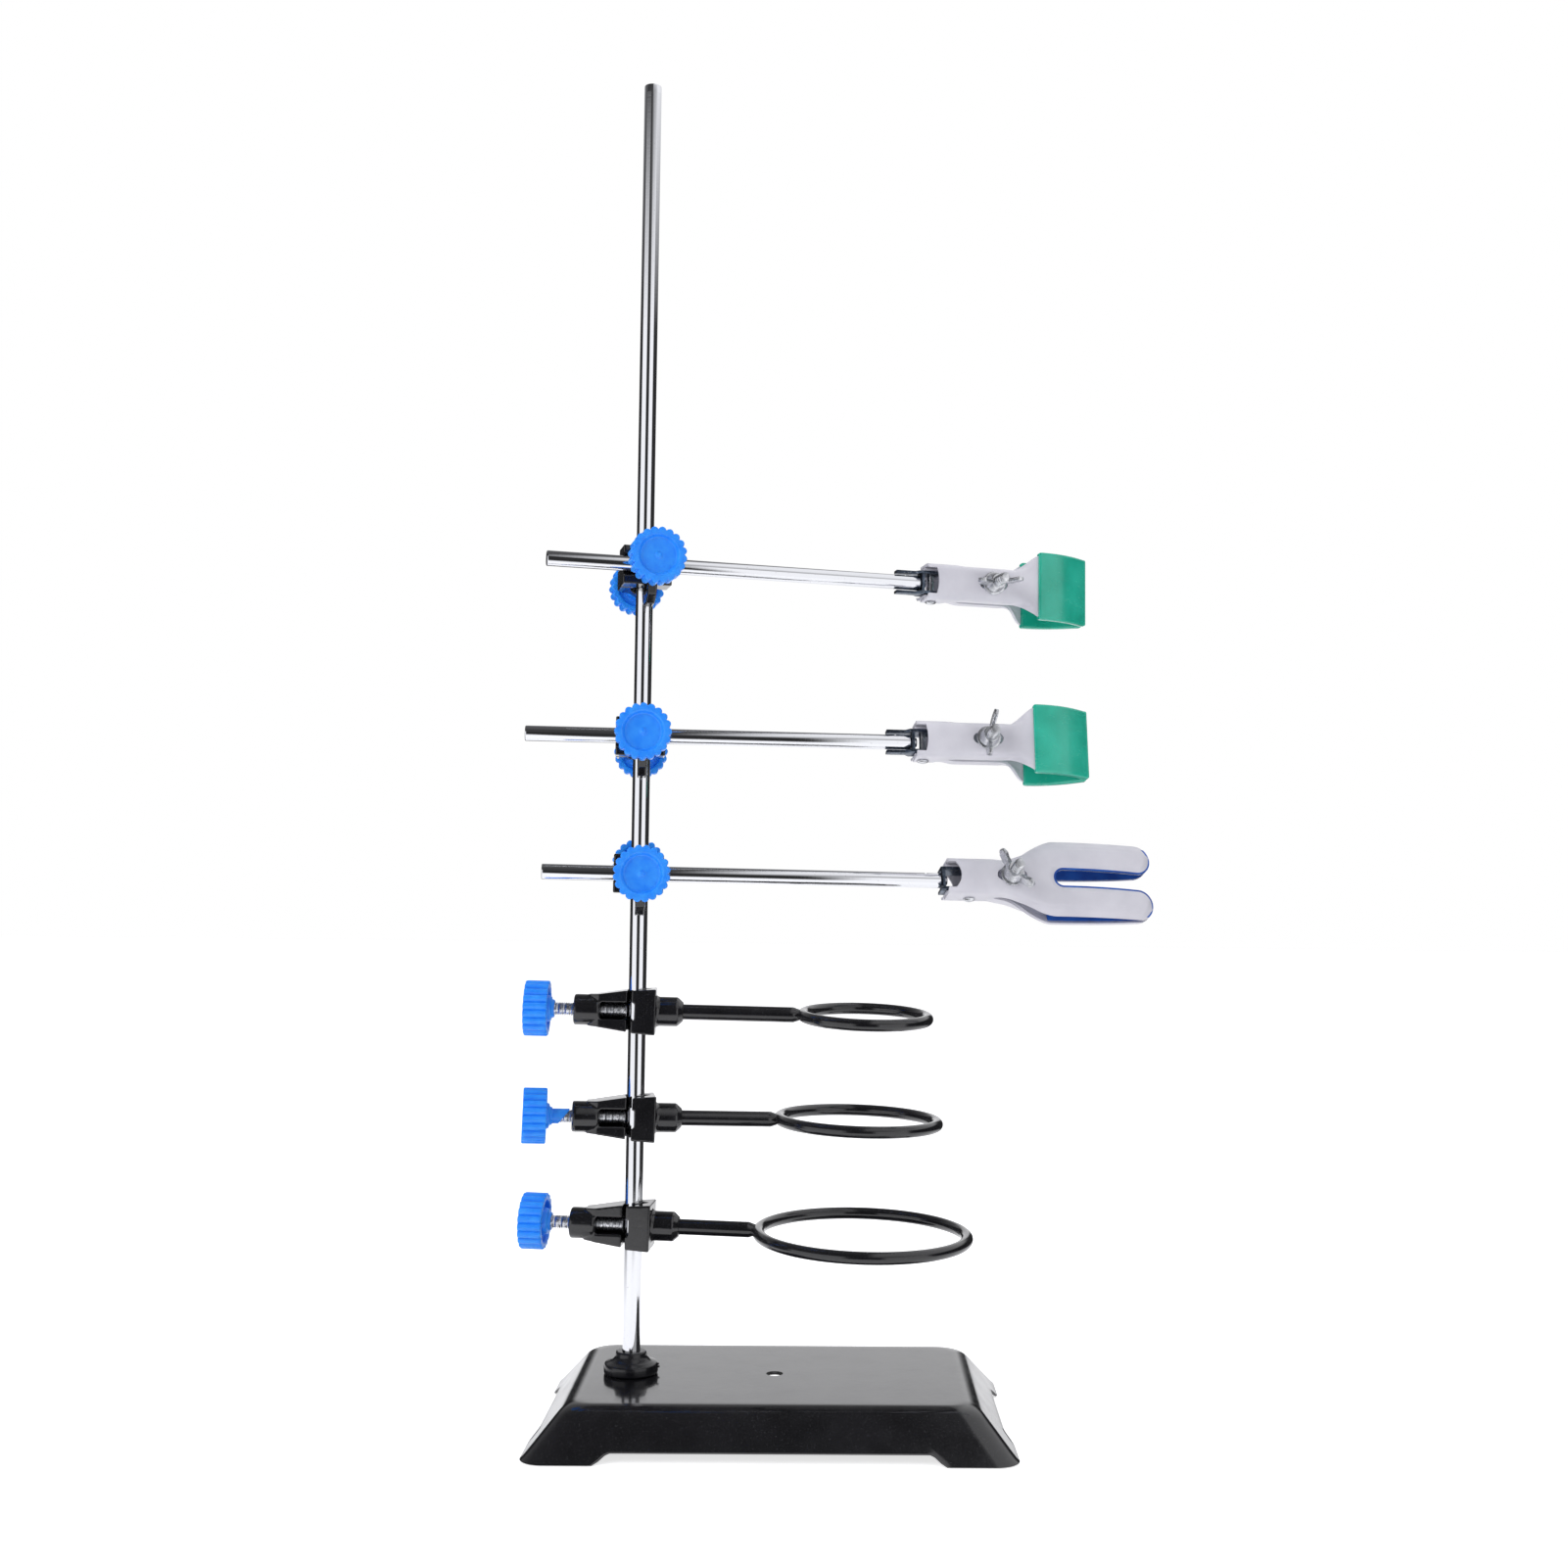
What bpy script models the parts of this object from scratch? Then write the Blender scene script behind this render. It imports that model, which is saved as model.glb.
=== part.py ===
"""Laboratory retort stand: pressed base, rod, three support rings and three boss-head clamps.

Everything on the rod hangs from a carriage, an empty that stands on the rod's axis with its
own height and swing about the rod. In a carriage's own axes +X runs out along the arm, -Y
faces the front and +Z is up. A clamp's head has one more empty, on its hinge pin.
"""
import math

import bmesh
import bpy
from mathutils import Euler, Matrix, Vector

MM = 0.001
GAP = 0.3 * MM

# Base: a pressed steel pan, open underneath
BASE_LENGTH = 210 * MM
BASE_WIDTH = 135 * MM
BASE_TOP_LENGTH = 175.5 * MM
BASE_TOP_WIDTH = 104.5 * MM
BASE_HEIGHT = 20 * MM
BASE_WALL = 1.6 * MM
BASE_EDGE_RADIUS = 6 * MM
FOOT_LENGTH = 30 * MM
ARCH_HEIGHT = 4.5 * MM
ARCH_RAMP = 3.5 * MM
SPARE_HOLE_RADIUS = 3.8 * MM

# Rod and what holds it
ROD_RADIUS = 4 * MM
ROD_BOTTOM = 16 * MM
ROD_TOP = 616 * MM
ROD_FROM_BASE_CENTRE = -65 * MM
COLLAR_HEIGHT = 9.7 * MM
COLLAR_RADIUS = 12.2 * MM
NUT_FLATS = 13 * MM
NUT_THICK = 5 * MM

# Thumb screws, all alike
SCREW_RADIUS = 2.9 * MM
SCREW_BORE = SCREW_RADIUS + GAP
KNOB_RADIUS = 12.6 * MM
KNOB_LOBES = 20
KNOB_LOBE_DEPTH = 1.2 * MM
KNOB_LENGTH = 10.8 * MM
KNOB_HUB_LENGTH = 2.6 * MM
KNOB_HUB_RADIUS = 5.6 * MM
KNOB_RECESS_RADIUS = 9.2 * MM
KNOB_RECESS_DEPTH = 2.2 * MM
KNOB_SOCKET_DEPTH = 7 * MM

# Ring supports: name, height, swing and droop in degrees, turn of the stem in its socket,
# ring outer radius, ring centre
RINGS = (
    ("small", 182.9 * MM, 3.2, 1.2, 3.5, 31.5 * MM, 104.8 * MM),
    ("medium", 134.6 * MM, 9.2, 1.6, 0.7, 39.5 * MM, 103.5 * MM),
    ("large", 86.1 * MM, -3.4, 1.3, 0.9, 49.9 * MM, 104.3 * MM),
)
RING_KNOB_CENTRE = -45.4 * MM
RING_WIRE_RADIUS = 2.75 * MM
STEM_RADIUS = 3.5 * MM
SOCKET_RADIUS = 6.7 * MM
SOCKET_END = 21 * MM
SOCKET_BOTTOM = 9.5 * MM
RING_JAW_END = 8.6 * MM
RING_LUG_START = -28.6 * MM
RING_LUG_END = -18 * MM
RING_LUG_RADIUS = 7 * MM

# Boss heads
ARM_RADIUS = 3.5 * MM
ARM_DEPTH = -14.3 * MM
BLOCK_HALF_WIDTH = 12 * MM
BLOCK_HALF_HEIGHT = 8.8 * MM
LUG_RADIUS = 6.3 * MM
FRONT_LUG = (-28.3 * MM, -21 * MM)
REAR_LUG = (8.5 * MM, 15.5 * MM)
FRONT_KNOB_FACE = -42.4 * MM
REAR_KNOB_FACE = 30 * MM
HOOK_HALF_THICK = 2 * MM
REAR_HOOK_HALF_THICK = 4.5 * MM

# Clamp heads, measured from the hinge pin along the arm
YOKE_INSIDE = 4.1 * MM
YOKE_SHEET = 1.4 * MM
YOKE_HALF_DEPTH = 4.6 * MM
YOKE_LEG_HALF = 2.2 * MM
SPIGOT_RADIUS = 2.2 * MM
PIN_RADIUS = 1.5 * MM
PIN_HEAD_RADIUS = 2.7 * MM
JAW_SHEET = 1.2 * MM
REAR_EAR_OUTSIDE = 7.0 * MM
FRONT_EAR_OUTSIDE = 8.5 * MM
SHANK_HALF_HEIGHT = 8.1 * MM
SHANK_DEPTH = 11 * MM
BOLT_RADIUS = 2.4 * MM
BOLT_HOLE_RADIUS = BOLT_RADIUS + GAP
BOLT_SLOT_HALF = 7 * MM
NUT_WASHER_RADIUS = 5.5 * MM
NUT_WASHER_THICK = 1 * MM
BOLT_TIP = -27 * MM
PAD_START = 50 * MM
PAD_END = 76.3 * MM
PAD_STATIONS = (PAD_START, 56 * MM, 63 * MM, 70 * MM, PAD_END)
PAD_HALF_HEIGHT = 14.8 * MM
SLEEVE_SKIN = 1.4 * MM
FORK_END = 87.2 * MM
FORK_HALF_HEIGHT = 18.2 * MM
FORK_ROOT = 43.4 * MM
FORK_GAP_HALF = 3.9 * MM
LINING = 1.6 * MM
LINING_GAP = 0.4 * MM
PRONG_RADIUS = (FORK_HALF_HEIGHT - FORK_GAP_HALF) / 2

# Clamps: name, kind, height, swing, droop, drop of the rod's screw, arm's left end, arm's length, web
# behind the hinge, leg reach behind the hinge, roll of the head, bolt from the hinge, turn of
# the wing nut
CLAMPS = (
    ("upper", "condenser", 386.2 * MM, 14.4, 0.6, -4.5 * MM, -46.6 * MM, 175.8 * MM,
     4.7 * MM, 17.5 * MM, -2.0, 28 * MM, 5.0),
    ("middle", "condenser", 307.9 * MM, 6.6, 0.2, -4.5 * MM, -52.4 * MM, 175.8 * MM,
     4.7 * MM, 17.0 * MM, -11.0, 29 * MM, 80.0),
    ("lower", "flask", 245.5 * MM, 7.2, 0.7, 4.0 * MM, -44.0 * MM, 182.3 * MM,
     12.0 * MM, 13.5 * MM, -19.0, 18.6 * MM, 130.0),
)

FINISHES = {
    "enamel": ((0.012, 0.012, 0.014), 0.0, 0.18),
    "chrome": ((0.75, 0.76, 0.78), 1.0, 0.08),
    "zinc": ((0.45, 0.48, 0.52), 1.0, 0.32),
    "dark_zinc": ((0.16, 0.20, 0.25), 1.0, 0.35),
    "grey_paint": ((0.56, 0.56, 0.62), 0.2, 0.35),
    "blue_plastic": ((0.02, 0.25, 0.95), 0.0, 0.35),
    "black_plastic": ((0.015, 0.015, 0.017), 0.0, 0.4),
    "green_sleeve": ((0.02, 0.45, 0.37), 0.0, 0.3),
    "blue_lining": ((0.01, 0.08, 0.40), 0.0, 0.55),
}

ALONG_X = Matrix.Rotation(math.radians(90), 4, "Y")
ALONG_MINUS_X = Matrix.Rotation(math.radians(-90), 4, "Y")
ALONG_Y = Matrix.Rotation(math.radians(-90), 4, "X")
ALONG_MINUS_Y = Matrix.Rotation(math.radians(90), 4, "X")
# Lays an outline of (x, z) points, drawn flat, upright in the XZ plane
UPRIGHT = Matrix.Rotation(math.radians(90), 4, "X")
# Lays an outline of (y, z) points upright in the YZ plane
EDGEWAYS = Matrix(((0, 0, 1, 0), (1, 0, 0, 0), (0, 1, 0, 0), (0, 0, 0, 1)))


# ---------------------------------------------------------------- making meshes

def evaluated_mesh(obj):
    """Return obj's mesh with its modifiers applied, and remove obj."""
    depsgraph = bpy.context.evaluated_depsgraph_get()
    mesh = bpy.data.meshes.new_from_object(obj.evaluated_get(depsgraph))
    bpy.data.objects.remove(obj)
    return mesh


def temporary(data):
    """Return an object that carries data while it is being shaped."""
    obj = bpy.data.objects.new("work", data)
    bpy.context.scene.collection.objects.link(obj)
    return obj


def from_bmesh(bm):
    """Return bm as a mesh, and free it."""
    mesh = bpy.data.meshes.new("mesh")
    bm.to_mesh(mesh)
    bm.free()
    return mesh


def moved(mesh, matrix):
    """Return mesh after moving its points by matrix."""
    mesh.transform(matrix)
    return mesh


def box(low, high):
    """Return a box between two corners."""
    low, high = Vector(low), Vector(high)
    bm = bmesh.new()
    bmesh.ops.create_cube(bm, size=1.0)
    bmesh.ops.scale(bm, vec=high - low, verts=bm.verts)
    bmesh.ops.translate(bm, vec=(low + high) / 2, verts=bm.verts)
    return from_bmesh(bm)


def turned(profile, steps=16, closed=False):
    """Return a shape turned about Z from (radius, height) points, top to bottom outside."""
    count = len(profile)
    edges = [(i, i + 1) for i in range(count - 1)]
    if closed:
        edges.append((count - 1, 0))
    mesh = bpy.data.meshes.new("profile")
    mesh.from_pydata([(radius, 0, height) for radius, height in profile], edges, [])
    obj = temporary(mesh)
    screw = obj.modifiers.new("Turn", "SCREW")
    screw.steps = steps
    screw.render_steps = steps
    screw.use_merge_vertices = True
    screw.merge_threshold = 0.00001
    return evaluated_mesh(obj)


def bar(radius, start, end, chamfer=0.0, steps=16):
    """Return a round bar along Z, chamfered at both ends."""
    if chamfer:
        side = [(radius - chamfer, end), (radius, end - chamfer)]
        side += [(radius, start + chamfer), (radius - chamfer, start)]
    else:
        side = [(radius, end), (radius, start)]
    return turned([(0, end)] + side + [(0, start)], steps)


def tube(outer, inner, start, end, steps=16):
    """Return a round tube along Z."""
    return turned([(outer, end), (outer, start), (inner, start), (inner, end)], steps, closed=True)


def plate(outline, low, high):
    """Return a flat outline filled and thickened along Z from low to high."""
    curve = bpy.data.curves.new("outline", "CURVE")
    curve.dimensions = "2D"
    curve.fill_mode = "BOTH"
    curve.extrude = (high - low) / 2
    spline = curve.splines.new("POLY")
    spline.points.add(len(outline) - 1)
    for point, (x, y) in zip(spline.points, outline):
        point.co = (x, y, 0, 1)
    spline.use_cyclic_u = True
    mesh = evaluated_mesh(temporary(curve))
    bpy.data.curves.remove(curve)
    bm = bmesh.new()
    bm.from_mesh(mesh)
    bmesh.ops.remove_doubles(bm, verts=bm.verts, dist=0.000001)
    bmesh.ops.translate(bm, vec=(0, 0, (low + high) / 2), verts=bm.verts)
    bmesh.ops.recalc_face_normals(bm, faces=bm.faces)
    bpy.data.meshes.remove(mesh)
    return from_bmesh(bm)


def combined(mesh, *steps):
    """Return mesh after Boolean steps, each an operation and the mesh it uses."""
    obj = temporary(mesh)
    tools = []
    for operation, tool_mesh in steps:
        tool = temporary(tool_mesh)
        tool.hide_render = True
        tool.display_type = "WIRE"
        tools.append(tool)
        modifier = obj.modifiers.new(operation.title(), "BOOLEAN")
        modifier.operation = operation
        modifier.solver = "EXACT"
        modifier.object = tool
    result = evaluated_mesh(obj)
    for tool in tools:
        bpy.data.objects.remove(tool)
    return result


def ellipse(half_x, half_y, count=14):
    """Return the points of an ellipse about the origin."""
    turn = 2 * math.pi / count
    return [(half_x * math.cos(i * turn), half_y * math.sin(i * turn)) for i in range(count)]


def groove(reach, radius, depth):
    """Return the outline of a flat-bottomed V that opens towards +Y, for a bar at the origin."""
    half = radius * math.tan(math.radians(22.5))
    spread = half + radius + depth
    return [(-half, -radius), (half, -radius), (spread, depth), (spread, reach),
            (-spread, reach), (-spread, depth)]


# ---------------------------------------------------------------- scene

def clear_scene():
    """Remove what a new scene starts with."""
    for obj in list(bpy.data.objects):
        bpy.data.objects.remove(obj)


def material(name):
    """Return the named finish as a Principled material."""
    colour, metallic, roughness = FINISHES[name]
    mat = bpy.data.materials.new(name)
    mat.use_nodes = True
    shader = mat.node_tree.nodes["Principled BSDF"]
    shader.inputs["Base Color"].default_value = (*colour, 1)
    shader.inputs["Metallic"].default_value = metallic
    shader.inputs["Roughness"].default_value = roughness
    mat.diffuse_color = (*colour, 1)
    return mat


def add_empty(name, parent, location, rotation=(0, 0, 0)):
    """Return a new empty that other pieces hang from."""
    empty = bpy.data.objects.new(name, None)
    empty.parent = parent
    empty.location = location
    empty.rotation_euler = Euler([math.radians(angle) for angle in rotation])
    bpy.context.scene.collection.objects.link(empty)
    return empty


def add_part(name, mesh, finish, parent, location=(0, 0, 0)):
    """Return a new named part with its own material."""
    obj = bpy.data.objects.new(name, mesh.copy())
    obj.data.name = name
    obj.data.materials.clear()
    obj.data.materials.append(material(finish))
    obj.data.shade_smooth()
    obj.data.set_sharp_from_angle(angle=math.radians(35))
    obj.parent = parent
    obj.location = location
    bpy.data.collections["retort_stand"].objects.link(obj)
    return obj


# ---------------------------------------------------------------- base and rod

def base_mesh():
    """Return the pressed pan with an arch in each skirt, its welded nut and its two holes."""
    bm = bmesh.new()
    bmesh.ops.create_cube(bm, size=1.0)
    bmesh.ops.scale(bm, vec=(BASE_LENGTH, BASE_WIDTH, BASE_HEIGHT), verts=bm.verts)
    bmesh.ops.translate(bm, vec=(0, 0, BASE_HEIGHT / 2), verts=bm.verts)
    top = [vert for vert in bm.verts if vert.co.z > BASE_HEIGHT / 2]
    shrink = (BASE_TOP_LENGTH / BASE_LENGTH, BASE_TOP_WIDTH / BASE_WIDTH, 1)
    bmesh.ops.scale(bm, vec=shrink, verts=top)
    floor = [face for face in bm.faces if face.normal.z < -0.5]
    bmesh.ops.delete(bm, geom=floor, context="FACES_ONLY")
    obj = temporary(from_bmesh(bm))
    bevel = obj.modifiers.new("Edges", "BEVEL")
    bevel.width = BASE_EDGE_RADIUS
    bevel.segments = 3
    bevel.limit_method = "ANGLE"
    bevel.angle_limit = math.radians(20)
    wall = obj.modifiers.new("Wall", "SOLIDIFY")
    wall.thickness = BASE_WALL
    wall.offset = -1
    wall.use_even_offset = True
    shell = evaluated_mesh(obj)
    across = NUT_FLATS / math.sqrt(3)
    top = BASE_HEIGHT - BASE_WALL / 2
    nut = turned([(0, top), (across, top), (across, top - NUT_THICK), (0, top - NUT_THICK)], 6)
    steps = [
        ("DIFFERENCE", box((-1, -1, -0.1), (1, 1, 0))),
        ("UNION", moved(nut, Matrix.Translation((ROD_FROM_BASE_CENTRE, 0, 0)))),
    ]
    for length, width in ((BASE_LENGTH, BASE_WIDTH), (BASE_WIDTH, BASE_LENGTH)):
        half = length / 2 - FOOT_LENGTH
        arch = [(-half, -ARCH_HEIGHT), (half, -ARCH_HEIGHT), (half, 0),
                (half - ARCH_RAMP, ARCH_HEIGHT), (ARCH_RAMP - half, ARCH_HEIGHT), (-half, 0)]
        cutter = moved(plate(arch, -width, width), UPRIGHT)
        if length == BASE_WIDTH:
            moved(cutter, Matrix.Rotation(math.radians(90), 4, "Z"))
        steps.append(("DIFFERENCE", cutter))
    for centre, radius in ((ROD_FROM_BASE_CENTRE, ROD_RADIUS + GAP), (0, SPARE_HOLE_RADIUS)):
        hole = bar(radius, BASE_HEIGHT / 2, BASE_HEIGHT * 1.5)
        steps.append(("DIFFERENCE", moved(hole, Matrix.Translation((centre, 0, 0)))))
    return combined(shell, *steps)


def add_stand(root):
    """Add the base, with its welded nut, the rod screwed into it and the collar over the joint."""
    add_part("base", base_mesh(), "enamel", root, (-ROD_FROM_BASE_CENTRE, 0, 0))
    add_part("rod", bar(ROD_RADIUS, ROD_BOTTOM, ROD_TOP, 0.5 * MM, 24), "chrome", root)
    bore = ROD_RADIUS + GAP
    bottom = BASE_HEIGHT + GAP
    top = bottom + COLLAR_HEIGHT
    profile = [(6.7 * MM, top), (7.1 * MM, top - 1 * MM), (7.4 * MM, top - 2.4 * MM),
               (9.2 * MM, top - 4.2 * MM), (11.6 * MM, top - 5.4 * MM),
               (COLLAR_RADIUS, top - 6.2 * MM), (COLLAR_RADIUS, bottom + 0.8 * MM),
               (11.6 * MM, bottom), (bore, bottom), (bore, top)]
    add_part("rod_collar", turned(profile, 24, closed=True), "black_plastic", root)


# ---------------------------------------------------------------- thumb screws

def knob_mesh():
    """Return a lobed knob on +Z, from the end of its hub at the origin to its dished face."""
    outline = []
    count = KNOB_LOBES * 2
    for i in range(count):
        angle = 2 * math.pi * i / count
        radius = KNOB_RADIUS - KNOB_LOBE_DEPTH * (1 - math.cos(KNOB_LOBES * angle)) / 2
        outline.append((radius * math.cos(angle), radius * math.sin(angle)))
    face = KNOB_HUB_LENGTH + KNOB_LENGTH
    dish = turned([(0, face + 1 * MM), (KNOB_RECESS_RADIUS, face + 1 * MM),
                   (KNOB_RECESS_RADIUS, face - 0.7 * MM),
                   (KNOB_RECESS_RADIUS * 0.85, face - KNOB_RECESS_DEPTH),
                   (0, face - KNOB_RECESS_DEPTH)], 14)
    return combined(
        plate(outline, KNOB_HUB_LENGTH, face),
        ("DIFFERENCE", dish),
        ("UNION", bar(KNOB_HUB_RADIUS, 0, KNOB_HUB_LENGTH + 2 * MM, 0, 14)),
        ("DIFFERENCE", bar(SCREW_BORE, -1 * MM, KNOB_SOCKET_DEPTH, 0, 12)))


def add_thumb_screw(name, parent, centre, outward, tip, face, knob):
    """Add a steel screw and its knob on an axis through centre.

    outward turns +Z to the knob's side. tip and face are how far the screw's end and the
    knob's dished face are from centre, along outward.
    """
    seat = face - KNOB_LENGTH - KNOB_HUB_LENGTH
    screw = bar(SCREW_RADIUS, tip, seat + KNOB_SOCKET_DEPTH - GAP, 0.6 * MM, 12)
    at = Matrix.Translation(centre) @ outward
    add_part(f"{name}_screw", moved(screw, outward), "zinc", parent, at.translation)
    placed = moved(knob.copy(), outward @ Matrix.Translation((0, 0, seat)))
    add_part(f"{name}_knob", placed, "blue_plastic", parent, at.translation)


# ---------------------------------------------------------------- ring supports

def ring_boss_mesh():
    """Return the cast boss: threaded lug, slotted frame, grooved jaw and stem socket."""
    reach = ROD_RADIUS + 0.7 * MM
    apex = reach * math.sqrt(2)
    back, front, spine = 9.8 * MM, -9 * MM, 5.9 * MM
    inner = -ROD_RADIUS - 0.8 * MM
    plan = [(RING_LUG_END - 4 * MM, -3 * MM), (RING_LUG_END + 0.5 * MM, -5.6 * MM),
            (inner, -5.6 * MM), (inner, spine), (apex - spine, spine), (apex, 0),
            (apex + front, front), (RING_JAW_END, front), (RING_JAW_END, back),
            (RING_LUG_END + 1 * MM, back - 2 * MM), (RING_LUG_END - 4 * MM, 5 * MM)]
    side = [(-40 * MM, -6 * MM), (RING_LUG_END, -7.5 * MM), (-4 * MM, -9.6 * MM),
            (20 * MM, -11.2 * MM), (20 * MM, 11.2 * MM), (-4 * MM, 9.6 * MM),
            (RING_LUG_END, 7.5 * MM), (-40 * MM, 6 * MM)]
    lug = moved(bar(RING_LUG_RADIUS, RING_LUG_START, RING_LUG_END + 1 * MM, 0.6 * MM), ALONG_X)
    socket = moved(bar(SOCKET_RADIUS, 7.5 * MM, SOCKET_END, 1 * MM), ALONG_X)
    slot = box((RING_LUG_END + 1.5 * MM, front - 1 * MM, -4.2 * MM), (-1 * MM, 3.5 * MM, 4.2 * MM))
    bore = bar(SCREW_BORE, RING_LUG_START - 2 * MM, -6 * MM, 0, 12)
    return combined(
        plate(plan, -12 * MM, 12 * MM),
        ("INTERSECT", moved(plate(side, -15 * MM, 15 * MM), UPRIGHT)),
        ("DIFFERENCE", slot),
        ("UNION", lug),
        ("UNION", socket),
        ("DIFFERENCE", moved(bore, ALONG_X)),
        ("DIFFERENCE", moved(bar(STEM_RADIUS + GAP, SOCKET_BOTTOM, SOCKET_END + 2 * MM), ALONG_X)))


def ring_mesh(outer_radius, centre, turn):
    """Return a wire ring welded to its stem, which sits turned in the boss's socket."""
    bpy.ops.mesh.primitive_torus_add(
        major_radius=outer_radius - RING_WIRE_RADIUS, minor_radius=RING_WIRE_RADIUS,
        major_segments=40, minor_segments=8)
    torus = bpy.context.object
    ring = moved(torus.data, Matrix.Translation((centre, 0, 0)))
    ring = ring.copy()
    bpy.data.objects.remove(torus)
    weld = centre - outer_radius + RING_WIRE_RADIUS
    stem = turned([(0, weld), (2.2 * MM, weld), (STEM_RADIUS, weld - 3.5 * MM),
                   (STEM_RADIUS, SOCKET_BOTTOM + GAP), (0, SOCKET_BOTTOM + GAP)], 16)
    welded = combined(ring, ("UNION", moved(stem, ALONG_X)))
    return moved(welded, Matrix.Rotation(math.radians(turn), 4, "X"))


def add_ring_support(root, boss, knob, ring):
    """Add one ring support on its carriage."""
    name, height, swing, droop, turn, outer_radius, centre = ring
    carriage = add_empty(f"{name}_ring_carriage", root, (0, 0, height), (0, droop, swing))
    add_part(f"{name}_ring_boss", boss, "enamel", carriage)
    add_part(f"{name}_ring", ring_mesh(outer_radius, centre, turn), "enamel", carriage)
    face = KNOB_LENGTH / 2 - RING_KNOB_CENTRE
    tip = ROD_RADIUS + 2 * GAP
    add_thumb_screw(f"{name}_ring", carriage, (0, 0, 0), ALONG_MINUS_X, tip, face, knob)


# ---------------------------------------------------------------- boss heads

def boss_head_mesh(drop):
    """Return the cast boss head: two crossed grooves, each faced by a hooked, threaded lug.

    drop is how far the rod's screw sits above the arm, or below it when negative.
    """
    block = box((-BLOCK_HALF_WIDTH, ARM_DEPTH, -BLOCK_HALF_HEIGHT),
                (BLOCK_HALF_WIDTH - 1.5 * MM, 0, BLOCK_HALF_HEIGHT))
    for_rod = plate(groove(5 * MM, ROD_RADIUS + 0.5 * MM, 1 * MM), -20 * MM, 20 * MM)
    for_arm = plate(groove(5 * MM, ARM_RADIUS + 0.4 * MM, 1 * MM), -20 * MM, 20 * MM)
    moved(for_arm, Matrix.Rotation(math.radians(180), 4, "Z"))
    moved(for_arm, Matrix.Translation((0, ARM_DEPTH, 0)) @ ALONG_X)
    front, inner = FRONT_LUG
    low = -19 * MM
    hook = [(-5.2 * MM, -7 * MM), (-5.4 * MM, -12 * MM), (-8 * MM, -17 * MM), (-13 * MM, low),
            (-20 * MM, low + 0.5 * MM), (-25 * MM, low + 4 * MM), (front + 0.5 * MM, -9 * MM),
            (front + 0.5 * MM, 3 * MM), (inner - 0.5 * MM, 3 * MM), (inner - 0.5 * MM, -8.5 * MM),
            (-19.5 * MM, -12.5 * MM), (-15.5 * MM, -13.6 * MM), (-11.5 * MM, -11.5 * MM),
            (-10 * MM, -7 * MM)]
    front_hook = moved(plate(hook, -HOOK_HALF_THICK, HOOK_HALF_THICK), EDGEWAYS)
    near, back = REAR_LUG
    outer = BLOCK_HALF_WIDTH - 0.6 * MM
    bend = [(-6 * MM, -3 * MM), (-5.8 * MM, 5 * MM), (-4 * MM, near + 0.5 * MM),
            (2 * MM, near + 0.5 * MM), (2 * MM, back - 0.5 * MM), (-5 * MM, back - 0.5 * MM),
            (-9 * MM, 12.5 * MM), (-outer, 8.5 * MM), (-outer, -3 * MM)]
    rear_hook = plate(bend, drop - REAR_HOOK_HALF_THICK, drop + REAR_HOOK_HALF_THICK)
    rear_axis = Matrix.Translation((0, 0, drop)) @ ALONG_Y
    front_bore = bar(SCREW_BORE, front - 1 * MM, inner + 1 * MM, 0, 12)
    rear_bore = bar(SCREW_BORE, near - 1 * MM, back + 1 * MM, 0, 12)
    return combined(
        block,
        ("DIFFERENCE", for_rod),
        ("DIFFERENCE", for_arm),
        ("UNION", rear_hook),
        ("UNION", moved(bar(LUG_RADIUS, near, back, 0.6 * MM), rear_axis)),
        ("UNION", front_hook),
        ("UNION", moved(bar(LUG_RADIUS, front, inner, 0.6 * MM), ALONG_Y)),
        ("DIFFERENCE", moved(front_bore, ALONG_Y)),
        ("DIFFERENCE", moved(rear_bore, rear_axis)))


def add_boss_head(name, carriage, drop, knob):
    """Add a boss head with the screw that grips the rod and the one that grips the arm."""
    add_part(f"{name}_boss", boss_head_mesh(drop), "enamel", carriage)
    add_thumb_screw(f"{name}_rod", carriage, (0, 0, drop), ALONG_Y,
                    ROD_RADIUS + 2 * GAP, REAR_KNOB_FACE, knob)
    add_thumb_screw(f"{name}_arm", carriage, (0, 0, 0), ALONG_MINUS_Y,
                    ARM_RADIUS + GAP - ARM_DEPTH, -FRONT_KNOB_FACE, knob)


# ---------------------------------------------------------------- clamp heads

def smooth(value, start, end):
    """Return 0 before start, 1 after end and an even ramp between."""
    share = min(max((value - start) / (end - start), 0), 1)
    return share * share * (3 - 2 * share)


def section(half_height, depth, edge, flat, count):
    """Return a jaw's cross-section as (depth, height) points, from a channel to a flat plate.

    edge is how far the channel's flanges run past the middle, and flat goes from 0, a
    channel, to 1, a plate.
    """
    points = []
    corner = depth * 0.45
    for i in range(count):
        across = 2 * i / (count - 1) - 1
        side = 1 if across > 0 else -1
        if abs(across) > 0.7:
            share = (abs(across) - 0.7) / 0.3
            channel = (-corner + share * (edge + corner), side * half_height)
        else:
            angle = across / 0.7 * math.pi / 2
            rise = (depth - corner) * max(math.cos(angle), 0) ** 0.5
            height = half_height * abs(math.sin(angle)) ** 0.8
            channel = (-corner - rise, math.copysign(height, angle))
        panel = (-depth, half_height * across)
        points.append(tuple(a + flat * (b - a) for a, b in zip(channel, panel)))
    return points


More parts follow.
